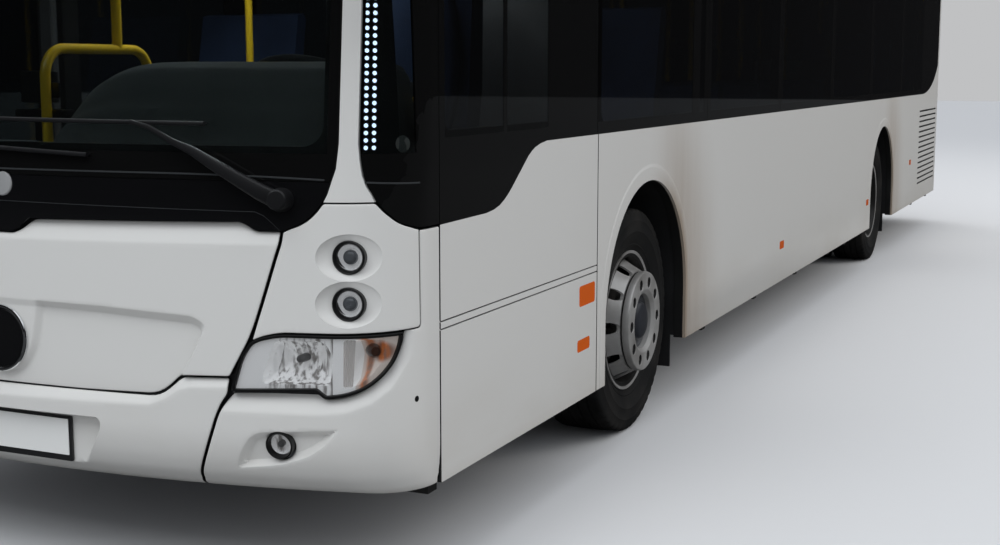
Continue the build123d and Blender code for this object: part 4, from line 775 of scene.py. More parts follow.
recessRows = bothHalves([(0, 0.840, 0), (0.170, 0.840, 0), (0.385, 0.832, 0), (0.678, 0.815, 0.02),
                         (0.702, 0.802, 0.02), (0.677, 0.740, 0.02), (0.646, 0.671, 0.01), (0.640, 0.55, 0.0),
                         (0.1, 0.55, 0.0)])
edgeRows = bothHalves([(0, 0.866, 0), (0.386, 0.861, 0), (0.684, 0.846, 0.02), (0.730, 0.820, 0.03),
                       (0.708, 0.776, 0.02), (0.677, 0.716, 0.02), (0.650, 0.671, 0.01), (0.645, 0.54, 0.0),
                       (0.1, 0.54, 0.0)])
bossRows = bothHalves([(0, 0.90, 0), (0.176, 0.90, 0), (0.163, 0.790, 0.03), (0.147, 0.711, 0.05),
                       (0.10, 0.645, 0.05), (0, 0.628, 0)])
recessOutline, edgeOutline, bossOutline = (frontOutline(rows) for rows in (recessRows, edgeRows, bossRows))


def flapCrease(s):
    # height of the crease, a little lower at the middle
    return np.interp(np.abs(s), flapSettings["creaseSpan"], flapSettings["crease"])


def flapDepth(s, z):
    # lean above the crease + a slope down from the outer to the inner outline, with the boss left standing
    settings = flapSettings
    points = np.stack([s, z], 1)
    outside = np.maximum(-distanceTo(points, edgeOutline), 0)
    inside = np.maximum(distanceTo(points, recessOutline), 0)
    span = outside + inside + 1e-9
    sink = eased(outside / span, settings["round"] / span)
    boss = eased(-distanceTo(points, bossOutline) / settings["boss"], 0.2)
    return (leaned(z - flapCrease(s), settings["lean"], settings["knee"])
            + settings["recess"] * sink * (1 - settings["bossShare"] * boss))


flapRun = np.linspace(-flapSettings["run"], flapSettings["run"], 200)
flapCreases = besides(edgeOutline, (0.0, 0.0025, 0.005)) + besides(recessOutline, (0.0, -0.0025, -0.005))
flapCreases += besides(bossOutline, (0.0, 0.0045, 0.011, 0.0175, 0.022))
flapCreases += linesOver(flapRun, flapCrease(flapRun))
flapPiece = panel("flapSkin", frontOutline(flapRows), flapDepth, paint, body="front_flap", spacing=0.010,
                  creases=flapCreases)
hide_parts("front_flap")
print("flap")

# Bumper: rolled upper edge, pocket for the blank plate
bumperSettings = {"creaseY": (0, 0.35, 0.547, 0.60, 0.64, 0.68, 0.80), "run": 0.79,
                  "creaseZ": (0.562, 0.568, 0.574, 0.596, 0.622, 0.634, 0.640),
                  "lean": 0.80, "knee": 0.008, "plateX": 5.752, "blend": 0.016}
bumperRows = bothHalves([(0, 0.597, 0), (0.575, 0.600, 0.04), (0.645, 0.661, 0.02), (0.790, 0.666, 0.008),
                         (0.792, 0.628, 0.02), (0.770, 0.598, 0.03), (0.751, 0.558, 0.03),
                         (0.731, 0.498, 0.03), (0.704, 0.433, 0.03), (0.655, 0.345, 0.03),
                         (0.632, 0.313, 0.004), (0.30, 0.313, 0)])
plateRows = [(-0.366, 0.526, 0.012), (0.366, 0.526, 0.012), (0.378, 0.511, 0.01), (0.373, 0.485, 0.02),
             (0.277, 0.338, 0.02), (-0.277, 0.338, 0.02), (-0.373, 0.485, 0.02), (-0.378, 0.511, 0.01)]
plateOutline = frontOutline(plateRows, 0.03)


def bumperCrease(s):
    # height of the crease below the rolled edge, rising at the sides
    return np.interp(np.abs(s), bumperSettings["creaseY"], bumperSettings["creaseZ"])


def bumperDepth(s, z):
    # lean above the crease + the plate pocket, whose floor is the upright plane at plateX
    settings = bumperSettings
    lean = leaned(z - bumperCrease(s), settings["lean"], settings["knee"])
    inside = eased(-distanceTo(np.stack([s, z], 1), plateOutline) / settings["blend"], 0.2)
    floor = np.maximum(frontPoint(s, z)[:, 0] - settings["plateX"], 0)
    return lean * (1 - inside) + floor * inside


bumperRun = np.linspace(-bumperSettings["run"], bumperSettings["run"], 200)
bumperCreases = linesOver(bumperRun, bumperCrease(bumperRun))
bumperCreases += besides(frontOutline(plateRows), (0.0, 0.003, 0.008, 0.013, 0.016))
bumperPiece = panel("bumperSkin", frontOutline(bumperRows), bumperDepth, paint, spacing=0.010,
                    creases=bumperCreases)
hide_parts("front_bumper")
print("bumper")

# Lamp panels with two oval dishes for the round lamps, which face nearly forwards
dishSettings = {"y": 1.137, "heights": (1.022, 0.890), "long": 0.096, "tall": 0.0665, "deep": 0.018,
                "least": 0.012, "hole": 0.045, "turn": math.radians(12), "tilt": 0.03, "proud": 0.004}
dishNormal = np.array((math.cos(dishSettings["turn"]), math.sin(dishSettings["turn"]), dishSettings["tilt"]))
lampPanelRows = [(0.955, 1.090, 0.004), (0.976, 1.100, 0.03), (1.004, 1.110, 0.03), (1.031, 1.128, 0.03),
                 (1.052, 1.150, 0.03), (1.068, 1.172, 0.006), (1.196, 1.172, 0.006), (1.214, 1.145, 0.03),
                 (1.240, 1.112, 0.03), (1.266, 1.092, 0.03),
                 ("x", 5.456, 1.091, 0.012), ("x", 5.456, 0.809, 0.03),
                 (0.948, 0.807, 0.05), (0.896, 0.795, 0.03), (0.866, 0.782, 0.006), (0.879, 0.825, 0.03),
                 (0.900, 0.892, 0.03), (0.923, 0.969, 0.03), (0.937, 1.017, 0.02), (0.951, 1.060, 0.02)]


def dishPlane(s, z, height):
    # depth from the surface back to the plane that the lamp sits in
    point, outward = placeAt(dishSettings["y"], height)
    away = (frontPoint(np.abs(s), z) - point + dishSettings["deep"] * outward) @ dishNormal
    return away / (outward @ dishNormal)


def lampPanelDepth(s, z):
    # each dish is a scoop with a crisp oval rim, down to the plane of its lamp
    total = np.zeros_like(s)
    for height in dishSettings["heights"]:
        centre = lengthAt(dishSettings["y"], height)
        radius = np.hypot((np.abs(s) - centre) / dishSettings["long"], (z - height) / dishSettings["tall"])
        share = (1 - np.clip(radius, 0, 1) ** 3) ** 0.8
        total += np.maximum(dishPlane(s, z, height), dishSettings["least"]) * share
    return total


def dishOutline(height, share):
    # the dish's oval, drawn smaller by the share
    return circleOutline(lengthAt(dishSettings["y"], height), height, dishSettings["long"] * share, 72,
                         dishSettings["tall"] * share)


lampPanelOutline = frontOutline(lampPanelRows)
lampHoles = [circleOutline(lengthAt(dishSettings["y"], z), z, dishSettings["hole"])
             for z in dishSettings["heights"]]
dishCreases = [dishOutline(z, share) for z in dishSettings["heights"]
               for share in (1.0, 0.975, 0.93, 0.86, 0.78, 0.70)]
for side in ("Left", "Right"):
    panelOn(side, "lampPanel", lampPanelOutline, lampPanelDepth, paint, "lamp_panels", lampHoles, dishCreases,
            spacing=0.009)
print("lamp panels")

# Bumper corners: rolled edge under the headlamp, leaf-shaped hollow round the fog lamp, strip up to the glass
cornerSettings = {"creaseY": (0.75, 1.05, 1.13, 1.19, 1.23, 1.26),
                  "creaseZ": (0.568, 0.570, 0.578, 0.602, 0.640, 0.72),
                  "lean": 0.60, "knee": 0.008, "fade": 0.02, "hollow": 0.024, "slope": 0.024,
                  "fogY": 0.937, "fogZ": 0.475, "fog": 0.044}
cornerRows = [(0.801, 0.622, 0.006), (0.779, 0.594, 0.03), (0.760, 0.556, 0.03), (0.741, 0.498, 0.03),
              (0.714, 0.433, 0.03), (0.665, 0.345, 0.03), (0.642, 0.313, 0.006), ("x", 5.3405, 0.313, 0.006),
              ("x", 5.3405, 1.088, 0.006), ("x", 5.451, 1.088, 0.006), ("x", 5.451, 0.806, 0.014),
              (1.2565, 0.804, 0.006), (1.254, 0.765, 0.03), (1.243, 0.719, 0.03), (1.221, 0.676, 0.03),
              (1.182, 0.640, 0.03), (1.132, 0.621, 0.03), (1.075, 0.614, 0.012), (1.060, 0.625, 0.012),
              (1.049, 0.635, 0.012)]
hollowRows = [(0.880, 0.518, 0.02), (0.990, 0.526, 0.03), (1.112, 0.534, 0.006), (1.085, 0.492, 0.03),
              (1.026, 0.447, 0.04), (0.933, 0.414, 0.04), (0.797, 0.396, 0.006), (0.818, 0.451, 0.04),
              (0.850, 0.500, 0.03)]
creaseLengths = [lengthAt(y, z) for y, z in zip(cornerSettings["creaseY"], cornerSettings["creaseZ"])]
hollowOutline = frontOutline(hollowRows)


def cornerCrease(s):
    # height of the crease below the headlamp, rising round the corner
    return np.interp(np.abs(s), creaseLengths, cornerSettings["creaseZ"])


def cornerDepth(s, z):
    # lean above the crease below the headlamp + the fog lamp's hollow, deepest away from its rim
    settings = cornerSettings
    near = 1 - soft(np.abs(s), creaseLengths[-2], creaseLengths[-1] + settings["fade"])
    inside = -distanceTo(np.stack([np.abs(s), z], 1), hollowOutline)
    return (near * leaned(z - cornerCrease(s), settings["lean"], settings["knee"])
            + settings["hollow"] * eased(inside / settings["slope"], 0.2))


cornerRun = np.linspace(creaseLengths[0], creaseLengths[-1], 80)
cornerCreases = linesOver(cornerRun, cornerCrease(cornerRun))
cornerCreases += besides(hollowOutline, (0.0, 0.003, 0.012, 0.021, 0.024))
fogHole = circleOutline(lengthAt(cornerSettings["fogY"], cornerSettings["fogZ"]), cornerSettings["fogZ"],
                        cornerSettings["fog"])
for side in ("Left", "Right"):
    panelOn(side, "bumperCorner", frontOutline(cornerRows), cornerDepth, paint, "bumper_corners", [fogHole],
            cornerCreases, spacing=0.010)
print("corners")

# Blank badge on the flap: a dark dome in a bright ring
badgePoint, _, _, badgeNormal = frameAt(flapSettings["badgeY"], flapSettings["badgeZ"])
badgePlace = [(badgePoint - flapSettings["badgeSink"] * badgeNormal, badgeNormal)]
badgeRing = [(0.1025, 0), (0.103, 0.004), (0.101, 0.0075), (0.0965, 0.0085), (0.093, 0.0075), (0.091, 0.004)]
badgeDome = [(0.092, 0.0015), (0.088, 0.0045), (0.07, 0.0056), (0.04, 0.0062), (0, 0.0065)]
turned("badgeRing", badgeRing, badgePlace, chrome, "front_flap", steps=72)
turned("badgeDome", badgeDome, badgePlace, blackPanel, "front_flap", steps=72)

# Plate holder with a blank plate, upright in its pocket
plateSettings = {"x": 5.7525, "z": 0.437, "holder": (0.012, 0.482, 0.140), "plate": (0.004, 0.464, 0.112),
                 "plateAhead": 0.0125, "plateUp": 0.006}
plateX, plateZ = plateSettings["x"], plateSettings["z"]
roundedBoxes("plateHolder", [((plateX + plateSettings["holder"][0] / 2, 0, plateZ), plateSettings["holder"])],
             blackTrim)
roundedBoxes("plateBlank", [((plateX + plateSettings["plateAhead"], 0, plateZ + plateSettings["plateUp"]),
                             plateSettings["plate"])], plateWhite, radius=0.0019)

# Round lamps and fog lamps: black ring, bright bowl glowing as a painted reflection, glass dome or bulb,
# clear cover
ringProfile = [(0.0485, -0.03), (0.0485, 0.003), (0.0475, 0.0060), (0.045, 0.0075), (0.0425, 0.0065),
               (0.0395, 0.001), (0.037, -0.004), (0.0365, -0.012)]
bowlProfile = [(0.037, -0.008), (0.035, -0.013), (0.031, -0.019), (0.026, -0.023), (0.0235, -0.023),
               (0.0225, -0.016), (0.0215, -0.016)]
domeProfile = [(0.0218, -0.022), (0.0218, -0.014), (0.0205, -0.0085), (0.0175, -0.0045), (0.0125, -0.0015),
               (0.006, -0.0002), (0, 0)]
coverProfile = [(0.0385, -0.0035), (0.0375, -0.001), (0.034, 0.002), (0.026, 0.0045), (0.014, 0.0062),
                (0, 0.0066), (0, 0.0046), (0.014, 0.0042), (0.026, 0.0025), (0.034, 0), (0.0365, -0.0025)]
fogBowl = [(0.035, -0.011), (0.030, -0.018), (0.020, -0.024), (0, -0.026)]
fogBulb = [(0.010, -0.022), (0.010, -0.008), (0.007, -0.004), (0, -0.003)]
fogSettings = {"ring": 0.86, "cover": 0.88, "ringUp": 0.001, "coverUp": -0.002, "sink": 0.013,
               "forward": 0.30}
roundPlaces = []
for height in dishSettings["heights"]:
    point, outward = placeAt(dishSettings["y"], height)
    roundPlaces += onBothSides(point - (dishSettings["deep"] - dishSettings["proud"]) * outward, dishNormal)
fogPoint, fogNormal = placeAt(cornerSettings["fogY"], cornerSettings["fogZ"])
fogPlaces = onBothSides(fogPoint - fogSettings["sink"] * fogNormal,
                        fogNormal + (fogSettings["forward"], 0, 0))


def resized(profile, factor, up):
    # the radii times factor, and every height raised by up
    return [(radius * factor, height + up) for radius, height in profile]


roundRings = turned("roundLampRings", ringProfile, roundPlaces, ringBlack)
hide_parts("front_lamps")
turned("roundLampBowls", bowlProfile, roundPlaces, reflectorMetal)
turned("roundLampDomes", domeProfile, roundPlaces, domeGlass)
turned("roundLampCovers", coverProfile, roundPlaces, clearLens)
turned("fogLampRings", resized(ringProfile, fogSettings["ring"], fogSettings["ringUp"]), fogPlaces, ringBlack)
turned("fogLampBowls", fogBowl, fogPlaces, headSilver)
turned("fogLampBulbs", fogBulb, fogPlaces, greyDark)
turned("fogLampCovers", resized(coverProfile, fogSettings["cover"], fogSettings["coverUp"]), fogPlaces,
       clearLens)
print("round lamps")

# Headlamp: rubber seal, bright bowl with facets, painted reflections and a painted glow, divider, ribbed
# window, amber lamp, clear cover
headSettings = {"seal": 0.0095, "under": 0.0085, "coverUnder": 0.0088, "sealLift": 0.0005,
                "coverSink": 0.0015, "floor": 0.011, "step": 0.012, "stepRun": 0.006,
                "bowl": 0.050, "bowlRun": 0.060, "bowlY": 1.005, "bowlZ": 0.728,
                "facet": 0.0035, "facetPitch": 0.019,
                "amber": 0.030, "amberRun": 0.050, "amberY": 1.203, "amberZ": 0.751,
                "ribSink": 0.010, "rib": 0.0022, "ribPitch": 0.0062, "bulbSink": 0.068, "amberSink": 0.050}
headRows = [(0.800, 0.629, 0.008), (1.050, 0.641, 0.012), (1.061, 0.631, 0.010), (1.075, 0.620, 0.010),
            (1.131, 0.627, 0.03), (1.179, 0.645, 0.03), (1.217, 0.681, 0.03), (1.238, 0.722, 0.03),
            (1.2475, 0.765, 0.03), (1.2505, 0.803, 0.006), (0.944, 0.802, 0.06), (0.889, 0.790, 0.03),
            (0.857, 0.775, 0.03), (0.829, 0.731, 0.03)]
bowlRows = [(0.893, 0.659, 0.012), (0.897, 0.690, 0.02), (0.928, 0.780, 0.02), (1.066, 0.784, 0.02),
            (1.096, 0.742, 0.02), (1.088, 0.660, 0.012)]
amberRows = [(1.126, 0.652, 0.01), (1.126, 0.788, 0.01), (1.222, 0.789, 0.02), (1.220, 0.740, 0.02),
             (1.198, 0.692, 0.02), (1.165, 0.660, 0.02)]
ribRows = [(1.124, 0.650, 0.004), (1.150, 0.655, 0.004), (1.156, 0.788, 0.004), (1.124, 0.789, 0.004)]
headOutline, ribOutline = frontOutline(headRows, 0.006), frontOutline(ribRows, 0.004)
bowlOutline, amberOutline = frontOutline(bowlRows, 0.01), frontOutline(amberRows, 0.01)
bowlCentre = lengthAt(headSettings["bowlY"], headSettings["bowlZ"])


def sealDepth(s, z):
    # a little proud of the panels all over
    return np.full_like(s, -headSettings["sealLift"])


def bowlDepth(s, z):
    # bezel floor + inside each outline a crisp step and a hollow; upright facets in the main bowl
    settings = headSettings
    points = np.stack([np.abs(s), z], 1)
    hollows = []
    for outline, key in ((bowlOutline, "bowl"), (amberOutline, "amber")):
        inside = -distanceTo(points, outline)
        hollow = settings["step"] * eased(inside / settings["stepRun"], 0.2)
        hollow += settings[key] * np.sqrt(np.clip(inside / settings[key + "Run"], 0, 1))
        if key == "bowl":
            wave = np.abs(np.sin((points[:, 0] - bowlCentre) * math.pi / settings["facetPitch"]))
            hollow -= settings["facet"] * wave * (inside > settings["stepRun"])
        hollows.append(hollow)
    return settings["floor"] + np.maximum(*hollows)


def coverDepth(s, z):
    # evenly below the panels
    return np.full_like(s, headSettings["coverSink"])


def ribDepth(s, z):
    # upright ribs between the two sides of the ribbed window
    settings = headSettings
    return settings["ribSink"] + settings["rib"] * np.abs(np.sin(np.abs(s) * math.pi / settings["ribPitch"]))


for side in ("Left", "Right"):
    panelOn(side, "headlampSeal", headOutline, sealDepth, ringBlack, slot=None,
            holes=[drawnIn(headOutline, headSettings["seal"])], spacing=0.05, edge=0.003)
    panelOn(side, "headlampBowl", drawnIn(headOutline, headSettings["under"]), bowlDepth, headSilver,
            slot=None, spacing=0.004, edge=0.001, wall=0.004)
    panelOn(side, "headlampRibs", ribOutline, ribDepth, ribbedLens, slot=None, spacing=0.003, edge=0.0005,
            wall=0.003, closed=True)
    panelOn(side, "headlampCover", drawnIn(headOutline, headSettings["coverUnder"]), coverDepth, clearLens,
            "headlamp_lenses", slot=None, spacing=0.02, edge=0.001, wall=0.0035, closed=True)
bulbPoint, _ = placeAt(headSettings["bowlY"], headSettings["bowlZ"], -headSettings["bulbSink"])
amberPlace = placeAt(headSettings["amberY"], headSettings["amberZ"], -headSettings["amberSink"])
bulbProfile = [(0.012, 0), (0.012, 0.02), (0.011, 0.024), (0.011, 0.040), (0.008, 0.046), (0, 0.048)]
amberProfile = [(0.020, 0), (0.021, 0.012), (0.020, 0.026), (0.014, 0.036), (0, 0.040)]
turned("headlampBulbs", bulbProfile, onBothSides(bulbPoint, (1, 0, 0)), greyDark, steps=32)
turned("amberBulbs", amberProfile, onBothSides(*amberPlace), bulbAmber, steps=32)
print("headlamps")

# Lamp strip behind each corner glass: two columns of small bright discs on a dim board
stripSettings = {"low": 1.3272, "high": 2.29, "pitch": 0.0206, "columns": ((1.173, 1.169), (1.191, 1.187)),
                 "sink": 0.0088, "size": 0.0062, "board": 0.0150, "boardLine": (1.182, 1.178),
                 "boardEdges": (-0.020, 0.020), "boardBelow": 0.012, "slant": (1.325, 1.720)}


def stripY(ends, z):
    # the first y at the lower height of the slant, the second at its upper height, and on in a straight line
    low, high = stripSettings["slant"]
    return ends[0] + (ends[1] - ends[0]) * (z - low) / (high - low)


discPlaces = []
for ends in stripSettings["columns"]:
    for z in np.arange(stripSettings["low"], stripSettings["high"], stripSettings["pitch"]):
        discPlaces += onBothSides(*placeAt(stripY(ends, z), z, -stripSettings["sink"]))
boardRun = np.linspace(stripSettings["low"] - stripSettings["boardBelow"], stripSettings["high"], 60)
boardPoints = np.array([placeAt(stripY(stripSettings["boardLine"], z) + edge, z, -stripSettings["board"])[0]
                        for z in boardRun for edge in stripSettings["boardEdges"]])
addMesh("lampStripBoards", np.concatenate([boardPoints, boardPoints * (1, -1, 1)]),
        gridFaces(len(boardRun), 2) + gridFaces(len(boardRun), 2, len(boardPoints)), ledBoard)
stripDisc = [(stripSettings["size"], 0), (stripSettings["size"] * 0.8, 0.0004), (0, 0.0005)]
turned("lampStripDots", stripDisc, discPlaces, ledGlow, steps=10)
print("lamp strips")

# Wipers: capped pivot, tapering arm with its spring cover, thin arm, blade carriers and rubber
wiperSettings = {  # arms as (y, z, width, height, lift) rows; blades from one (y, z) to another
    "arms": (((0.953, 1.182, 0.050, 0.036, 0.030), (0.905, 1.205, 0.048, 0.036, 0.036),
              (0.840, 1.241, 0.040, 0.030, 0.042), (0.760, 1.286, 0.034, 0.026, 0.044),
              (0.703, 1.318, 0.026, 0.018, 0.042), (0.641, 1.342, 0.018, 0.012, 0.036),
              (0.560, 1.382, 0.015, 0.011, 0.028), (0.500, 1.396, 0.013, 0.010, 0.024)),
             ((-0.62, 1.185, 0.048, 0.034, 0.030), (-0.50, 1.215, 0.044, 0.032, 0.040),
              (-0.36, 1.245, 0.034, 0.026, 0.042), (-0.22, 1.272, 0.024, 0.018, 0.038),
              (-0.10, 1.296, 0.016, 0.012, 0.030), (0.0, 1.310, 0.012, 0.010, 0.022))),
    "blades": (((0.0, 1.399), (0.726, 1.392)), ((-0.37, 1.332), (0.355, 1.299))),
    "carrier": (0.013, 0.016, 0.016), "rubber": (0.004, 0.022, 0.009), "rubberUp": 0.002,
}


def evened(rows, count=28):
    # rows resampled evenly along their own number
    place = np.linspace(0, len(rows) - 1, count)
    return np.stack([np.interp(place, np.arange(len(rows)), column) for column in np.array(rows).T], 1)


def barOver(rows):
    # a bar whose centre line runs through (y, z) lifted off the glass, with the width and height of each row
    places = [placeAt(y, z, lift) for y, z, width, height, lift in rows]
    centres, normals = np.array([point for point, _ in places]), np.array([normal for _, normal in places])
    ahead = np.concatenate([centres[1:], centres[-1:]]) - np.concatenate([centres[:1], centres[:-1]])
    sides = np.cross(normals, ahead / np.linalg.norm(ahead, axis=1)[:, None])
    sides /= np.linalg.norm(sides, axis=1)[:, None]
    return centres, sides, normals, [roundedSection(width, height, 0.38 * min(width, height))
                                     for y, z, width, height, lift in rows]


wiperBars = []
for arm, (start, end) in zip(wiperSettings["arms"], wiperSettings["blades"]):
    wiperBars.append(barOver(evened(arm)))
    for up, size in ((0.0, wiperSettings["carrier"]), (wiperSettings["rubberUp"], wiperSettings["rubber"])):
        wiperBars.append(barOver(evened([(y, z + up, *size) for y, z in (start, end)], 24)))
wiperArms = swept("wiperArms", wiperBars, wiperBlack)
pivotProfile = [(0.034, -0.002), (0.034, 0.020), (0.031, 0.032), (0.029, 0.052), (0.024, 0.056), (0, 0.057)]
pivotPlaces = [placeAt(*arm[0][:2]) for arm in wiperSettings["arms"]]
turned("wiperPivots", pivotProfile, pivotPlaces, wiperBlack, steps=40)
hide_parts("wipers")
print("wipers")

# Grey cap on the band at the middle, round cap in each corner glass, small hole in the left corner drawn as a
# flat black disc of painted shade
spotSettings = {"cap": (0.040, 1.206), "ball": (1.246, 1.336, -0.0088), "hole": (5.478, 0.600, 0.0004)}
bandCap = [(0.036, -0.002), (0.036, 0.003), (0.033, 0.006), (0, 0.007)]
turned("bandCap", bandCap, [placeAt(*spotSettings["cap"])], greyPlastic)
ballProfile = [(0.024, 0), (0.020, 0.0004), (0, 0.0005)]
turned("cornerBall", ballProfile, onBothSides(*placeAt(*spotSettings["ball"])), greyPlastic)
holeX, holeZ, holeLift = spotSettings["hole"]
holePoint, _, _, holeNormal = frameAt(lengthAtX(holeX, holeZ), holeZ, holeLift)
turned("cornerHoleShade", [(0.009, 0), (0, 0.0003)], [(holePoint, holeNormal)], shutBlack, steps=20)

# Thin strips on the cowl, their grey a painted highlight of the lit edges: the windscreen's lower edge, its
# end in the corner glass, the step above the flap
cowlSettings = {"edge": (1.251, 0.013, 0.55, 0.53), "edgeHalf": 1.07, "edgeWidth": 0.005, "edgeProud": 0.0006,
                "corner": ((1.172, 1.232), (1.268, 1.224)), "step": ((0.0, 1.156), (0.874, 1.147)),
                "stepEnd": ((0.90, 1.136), (0.925, 1.115), (0.945, 1.096)),
                "stepWidth": 0.0016, "stepProud": 0.0004}


def surfaceLine(rows, width, proud):
    # a thin strip over (y, z) rows of the front surface
    frames = [frameAt(lengthAt(y, z), z, proud) for y, z in rows]
    points, _, ups, normals = zip(*frames)
    return points, ups, normals, [roundedSection(width, 0.0012, 0.0005, 1)] * len(frames)


def cowlEdge(y):
    # height of the windscreen's lower edge: level, then falling with the square of the way past inner
    level, fall, inner, span = cowlSettings["edge"]
    return level - fall * np.maximum(0, (np.abs(y) - inner) / span) ** 2


edgeRun = np.linspace(-cowlSettings["edgeHalf"], cowlSettings["edgeHalf"], 60)
edgeSizes = (cowlSettings["edgeWidth"], cowlSettings["edgeProud"])
cowlEdgeHighlights = [surfaceLine(list(zip(edgeRun, cowlEdge(edgeRun))), *edgeSizes)]
for sign in (1, -1):
    across = np.array((sign, 1))
    cowlEdgeHighlights.append(surfaceLine(evened(cowlSettings["corner"], 16) * across, *edgeSizes))
    stepRows = np.concatenate([evened(cowlSettings["step"], 30), cowlSettings["stepEnd"]]) * across
    cowlEdgeHighlights.append(surfaceLine(stepRows, cowlSettings["stepWidth"], cowlSettings["stepProud"]))
swept("cowlEdgeHighlights", cowlEdgeHighlights, edgeHighlightGrey)

# Dash: a shelf behind the windscreen that swells into the driver's hood, with vents in the shelf
dashSettings = {"left": -0.02, "grow": 0.45, "right": 1.12, "close": 0.05, "half": (-1.02, 1.12),
                "low": 1.302, "top": 1.566, "foot": 1.20, "ahead": 0.125, "frontZ": 1.28,
                "backTurn": (-0.14, -0.03), "back": (5.262, 5.115),
                "rise": ((5.53, 0.0), (5.505, 0.12), (5.475, 0.46), (5.462, 0.50), (5.43, 0.72), (5.39, 0.92),
                         (5.345, 1.0), (5.22, 0.99), (5.15, 0.93), (5.115, 0.80)),
                "swell": (3.2, 0.45), "endRound": 0.5, "across": 110, "along": 46,
                "vent": (0.016, 0.105, 0.004), "ventX": 5.585, "ventZ": 1.3035, "ventBend": 0.02,
                "ventRun": (-0.42, 0.90, 0.145)}


def dashHeight(x, y):
    # shelf + hood: how far across the hood the place is, times how far up its slope
    settings = dashSettings
    power, root = settings["swell"]
    share = np.clip((y - settings["left"]) / settings["grow"], 0, 1)
    ending = np.clip((settings["right"] - y) / settings["close"], 0, 1) ** settings["endRound"]
    across = (1 - (1 - share) ** power) ** root * ending
    places, shares = np.array(settings["rise"]).T
    return settings["low"] + (settings["top"] - settings["low"]) * across * np.interp(-x, -places, shares)


def dashPoints(y, alongRun):
    # per y a row from the front edge back to the rear edge, and down to the foot
    settings = dashSettings
    lengths = np.array([lengthAt(value, settings["frontZ"]) for value in y])
    ahead = (frontPoint(lengths, settings["frontZ"])[:, 0] - settings["ahead"])[:, None]
    back = np.interp(y, settings["backTurn"], settings["back"])[:, None]
    x = ahead + (back - ahead) * alongRun
    top = np.stack([x, np.repeat(y[:, None], len(alongRun), 1), dashHeight(x, y[:, None])], -1)
    foot = np.stack([back[:, 0], y, np.full_like(y, settings["foot"])], -1)[:, None]
    return np.concatenate([top, foot], 1).reshape(-1, 3)


dashGrid = dashPoints(np.linspace(*dashSettings["half"], dashSettings["across"]),
                      np.linspace(0, 1, dashSettings["along"]))
addMesh("dashTop", dashGrid, gridFaces(dashSettings["across"], dashSettings["along"] + 1), dashPlastic)
ventRows = [((dashSettings["ventX"] - dashSettings["ventBend"] * abs(y), y, dashSettings["ventZ"]),
             dashSettings["vent"]) for y in np.arange(*dashSettings["ventRun"])]
roundedBoxes("dashVents", ventRows, shutBlack, radius=0.0018)

# Cab: a device beside the hood, a pole at the platform and a lever at the driver's left
cabSettings = {"device": (((5.34, -0.20, 1.485), (0.045, 0.125, 0.105)),
                          ((5.36, -0.165, 1.395), (0.06, 0.20, 0.035)),
                          ((5.34, -0.20, 1.36), (0.03, 0.03, 0.11)),
                          ((5.37, -0.105, 1.475), (0.012, 0.036, 0.05))),
               "pole": (5.037, -0.12), "poleHeights": (1.61, 1.9, 2.2, 2.46), "poleWidth": 0.034,
               "lever": (5.24, 1.15, 1.46), "leverRun": (-0.07, 0, -0.12), "leverShares": (0, 0.33, 0.67, 1),
               "leverUp": (0.86, 0, -0.5), "leverWidth": 0.022, "leverSizes": (0.022, 0.030, 0.040, 0.044)}
roundedBoxes("cabDevice", cabSettings["device"], ringBlack, radius=0.008)
poleCentres = [np.array((*cabSettings["pole"], z)) for z in cabSettings["poleHeights"]]
poleSection = roundedSection(cabSettings["poleWidth"], cabSettings["poleWidth"], 0.016, 6)
poleBar = straightBar(poleCentres, (1, 0, 0), (0, 1, 0), [poleSection] * len(poleCentres))
swept("hoopPole", [poleBar], yellowPaint)
leverCentres = [np.array(cabSettings["lever"]) + np.array(cabSettings["leverRun"]) * share
                for share in cabSettings["leverShares"]]
leverSections = [roundedSection(cabSettings["leverWidth"], size, 0.010, 5)
                 for size in cabSettings["leverSizes"]]
swept("cabLever", [straightBar(leverCentres, (0, 1, 0), cabSettings["leverUp"], leverSections)], yellowPaint)

# Driver's cushions: a seat and a back
cushionSettings = {"y": 0.65, "thick": 0.07, "seat": ((4.37, 1.185), (4.80, 1.210)), "seatWidth": 0.44,
                   "back": ((4.385, 1.24), (4.31, 1.84)), "backWidth": 0.42}


def cushion(ends, width):
    # a padded bar from one (x, z) to the other, its section shrinking at both ends by a power of a sine
    centres = np.insert(evened(ends, 16), 1, cushionSettings["y"], axis=1)
    along = (centres[-1] - centres[0]) / np.linalg.norm(centres[-1] - centres[0])
    full = np.sin(math.pi * (0.12 + 0.76 * np.linspace(0, 1, len(centres)))) ** 0.35
    thick = cushionSettings["thick"]
    sections = [roundedSection(width * size, thick * size, 0.45 * thick * size, 4) for size in full]
    return straightBar(centres, (0, 1, 0), np.cross(along, (0, 1.0, 0)), sections)


seatPads = swept("driverSeatPads", [cushion(cushionSettings[key], cushionSettings[key + "Width"])
                                    for key in ("seat", "back")], seatFabric)
print("cab pieces")

# Tyres: a turned profile with grooves in the tread, ribs on the side and notched shoulders
tyreSettings = {"radius": 0.479, "around": 216, "notches": 54, "notch": 0.007, "shoulder": (0.457, 0.080),
                "grooves": (-0.072, -0.026, 0.026, 0.072), "groove": 0.009, "grooveHalf": 0.005,
                "grooveSlope": 0.001, "crown": 0.0035, "crownAt": 0.12, "edge": (0.4765, 0.106)}
tyreSide = [(0.289, 0.100), (0.2995, 0.107), (0.310, 0.1145), (0.322, 0.1195), (0.324, 0.1215),
            (0.328, 0.1205), (0.350, 0.1300), (0.376, 0.1358), (0.380, 0.1378), (0.386, 0.1362),
            (0.405, 0.1372), (0.424, 0.1352), (0.427, 0.1362), (0.432, 0.1340), (0.446, 0.1310),
            (0.458, 0.1290), (0.466, 0.1270), (0.472, 0.1225), (0.4755, 0.1150)]


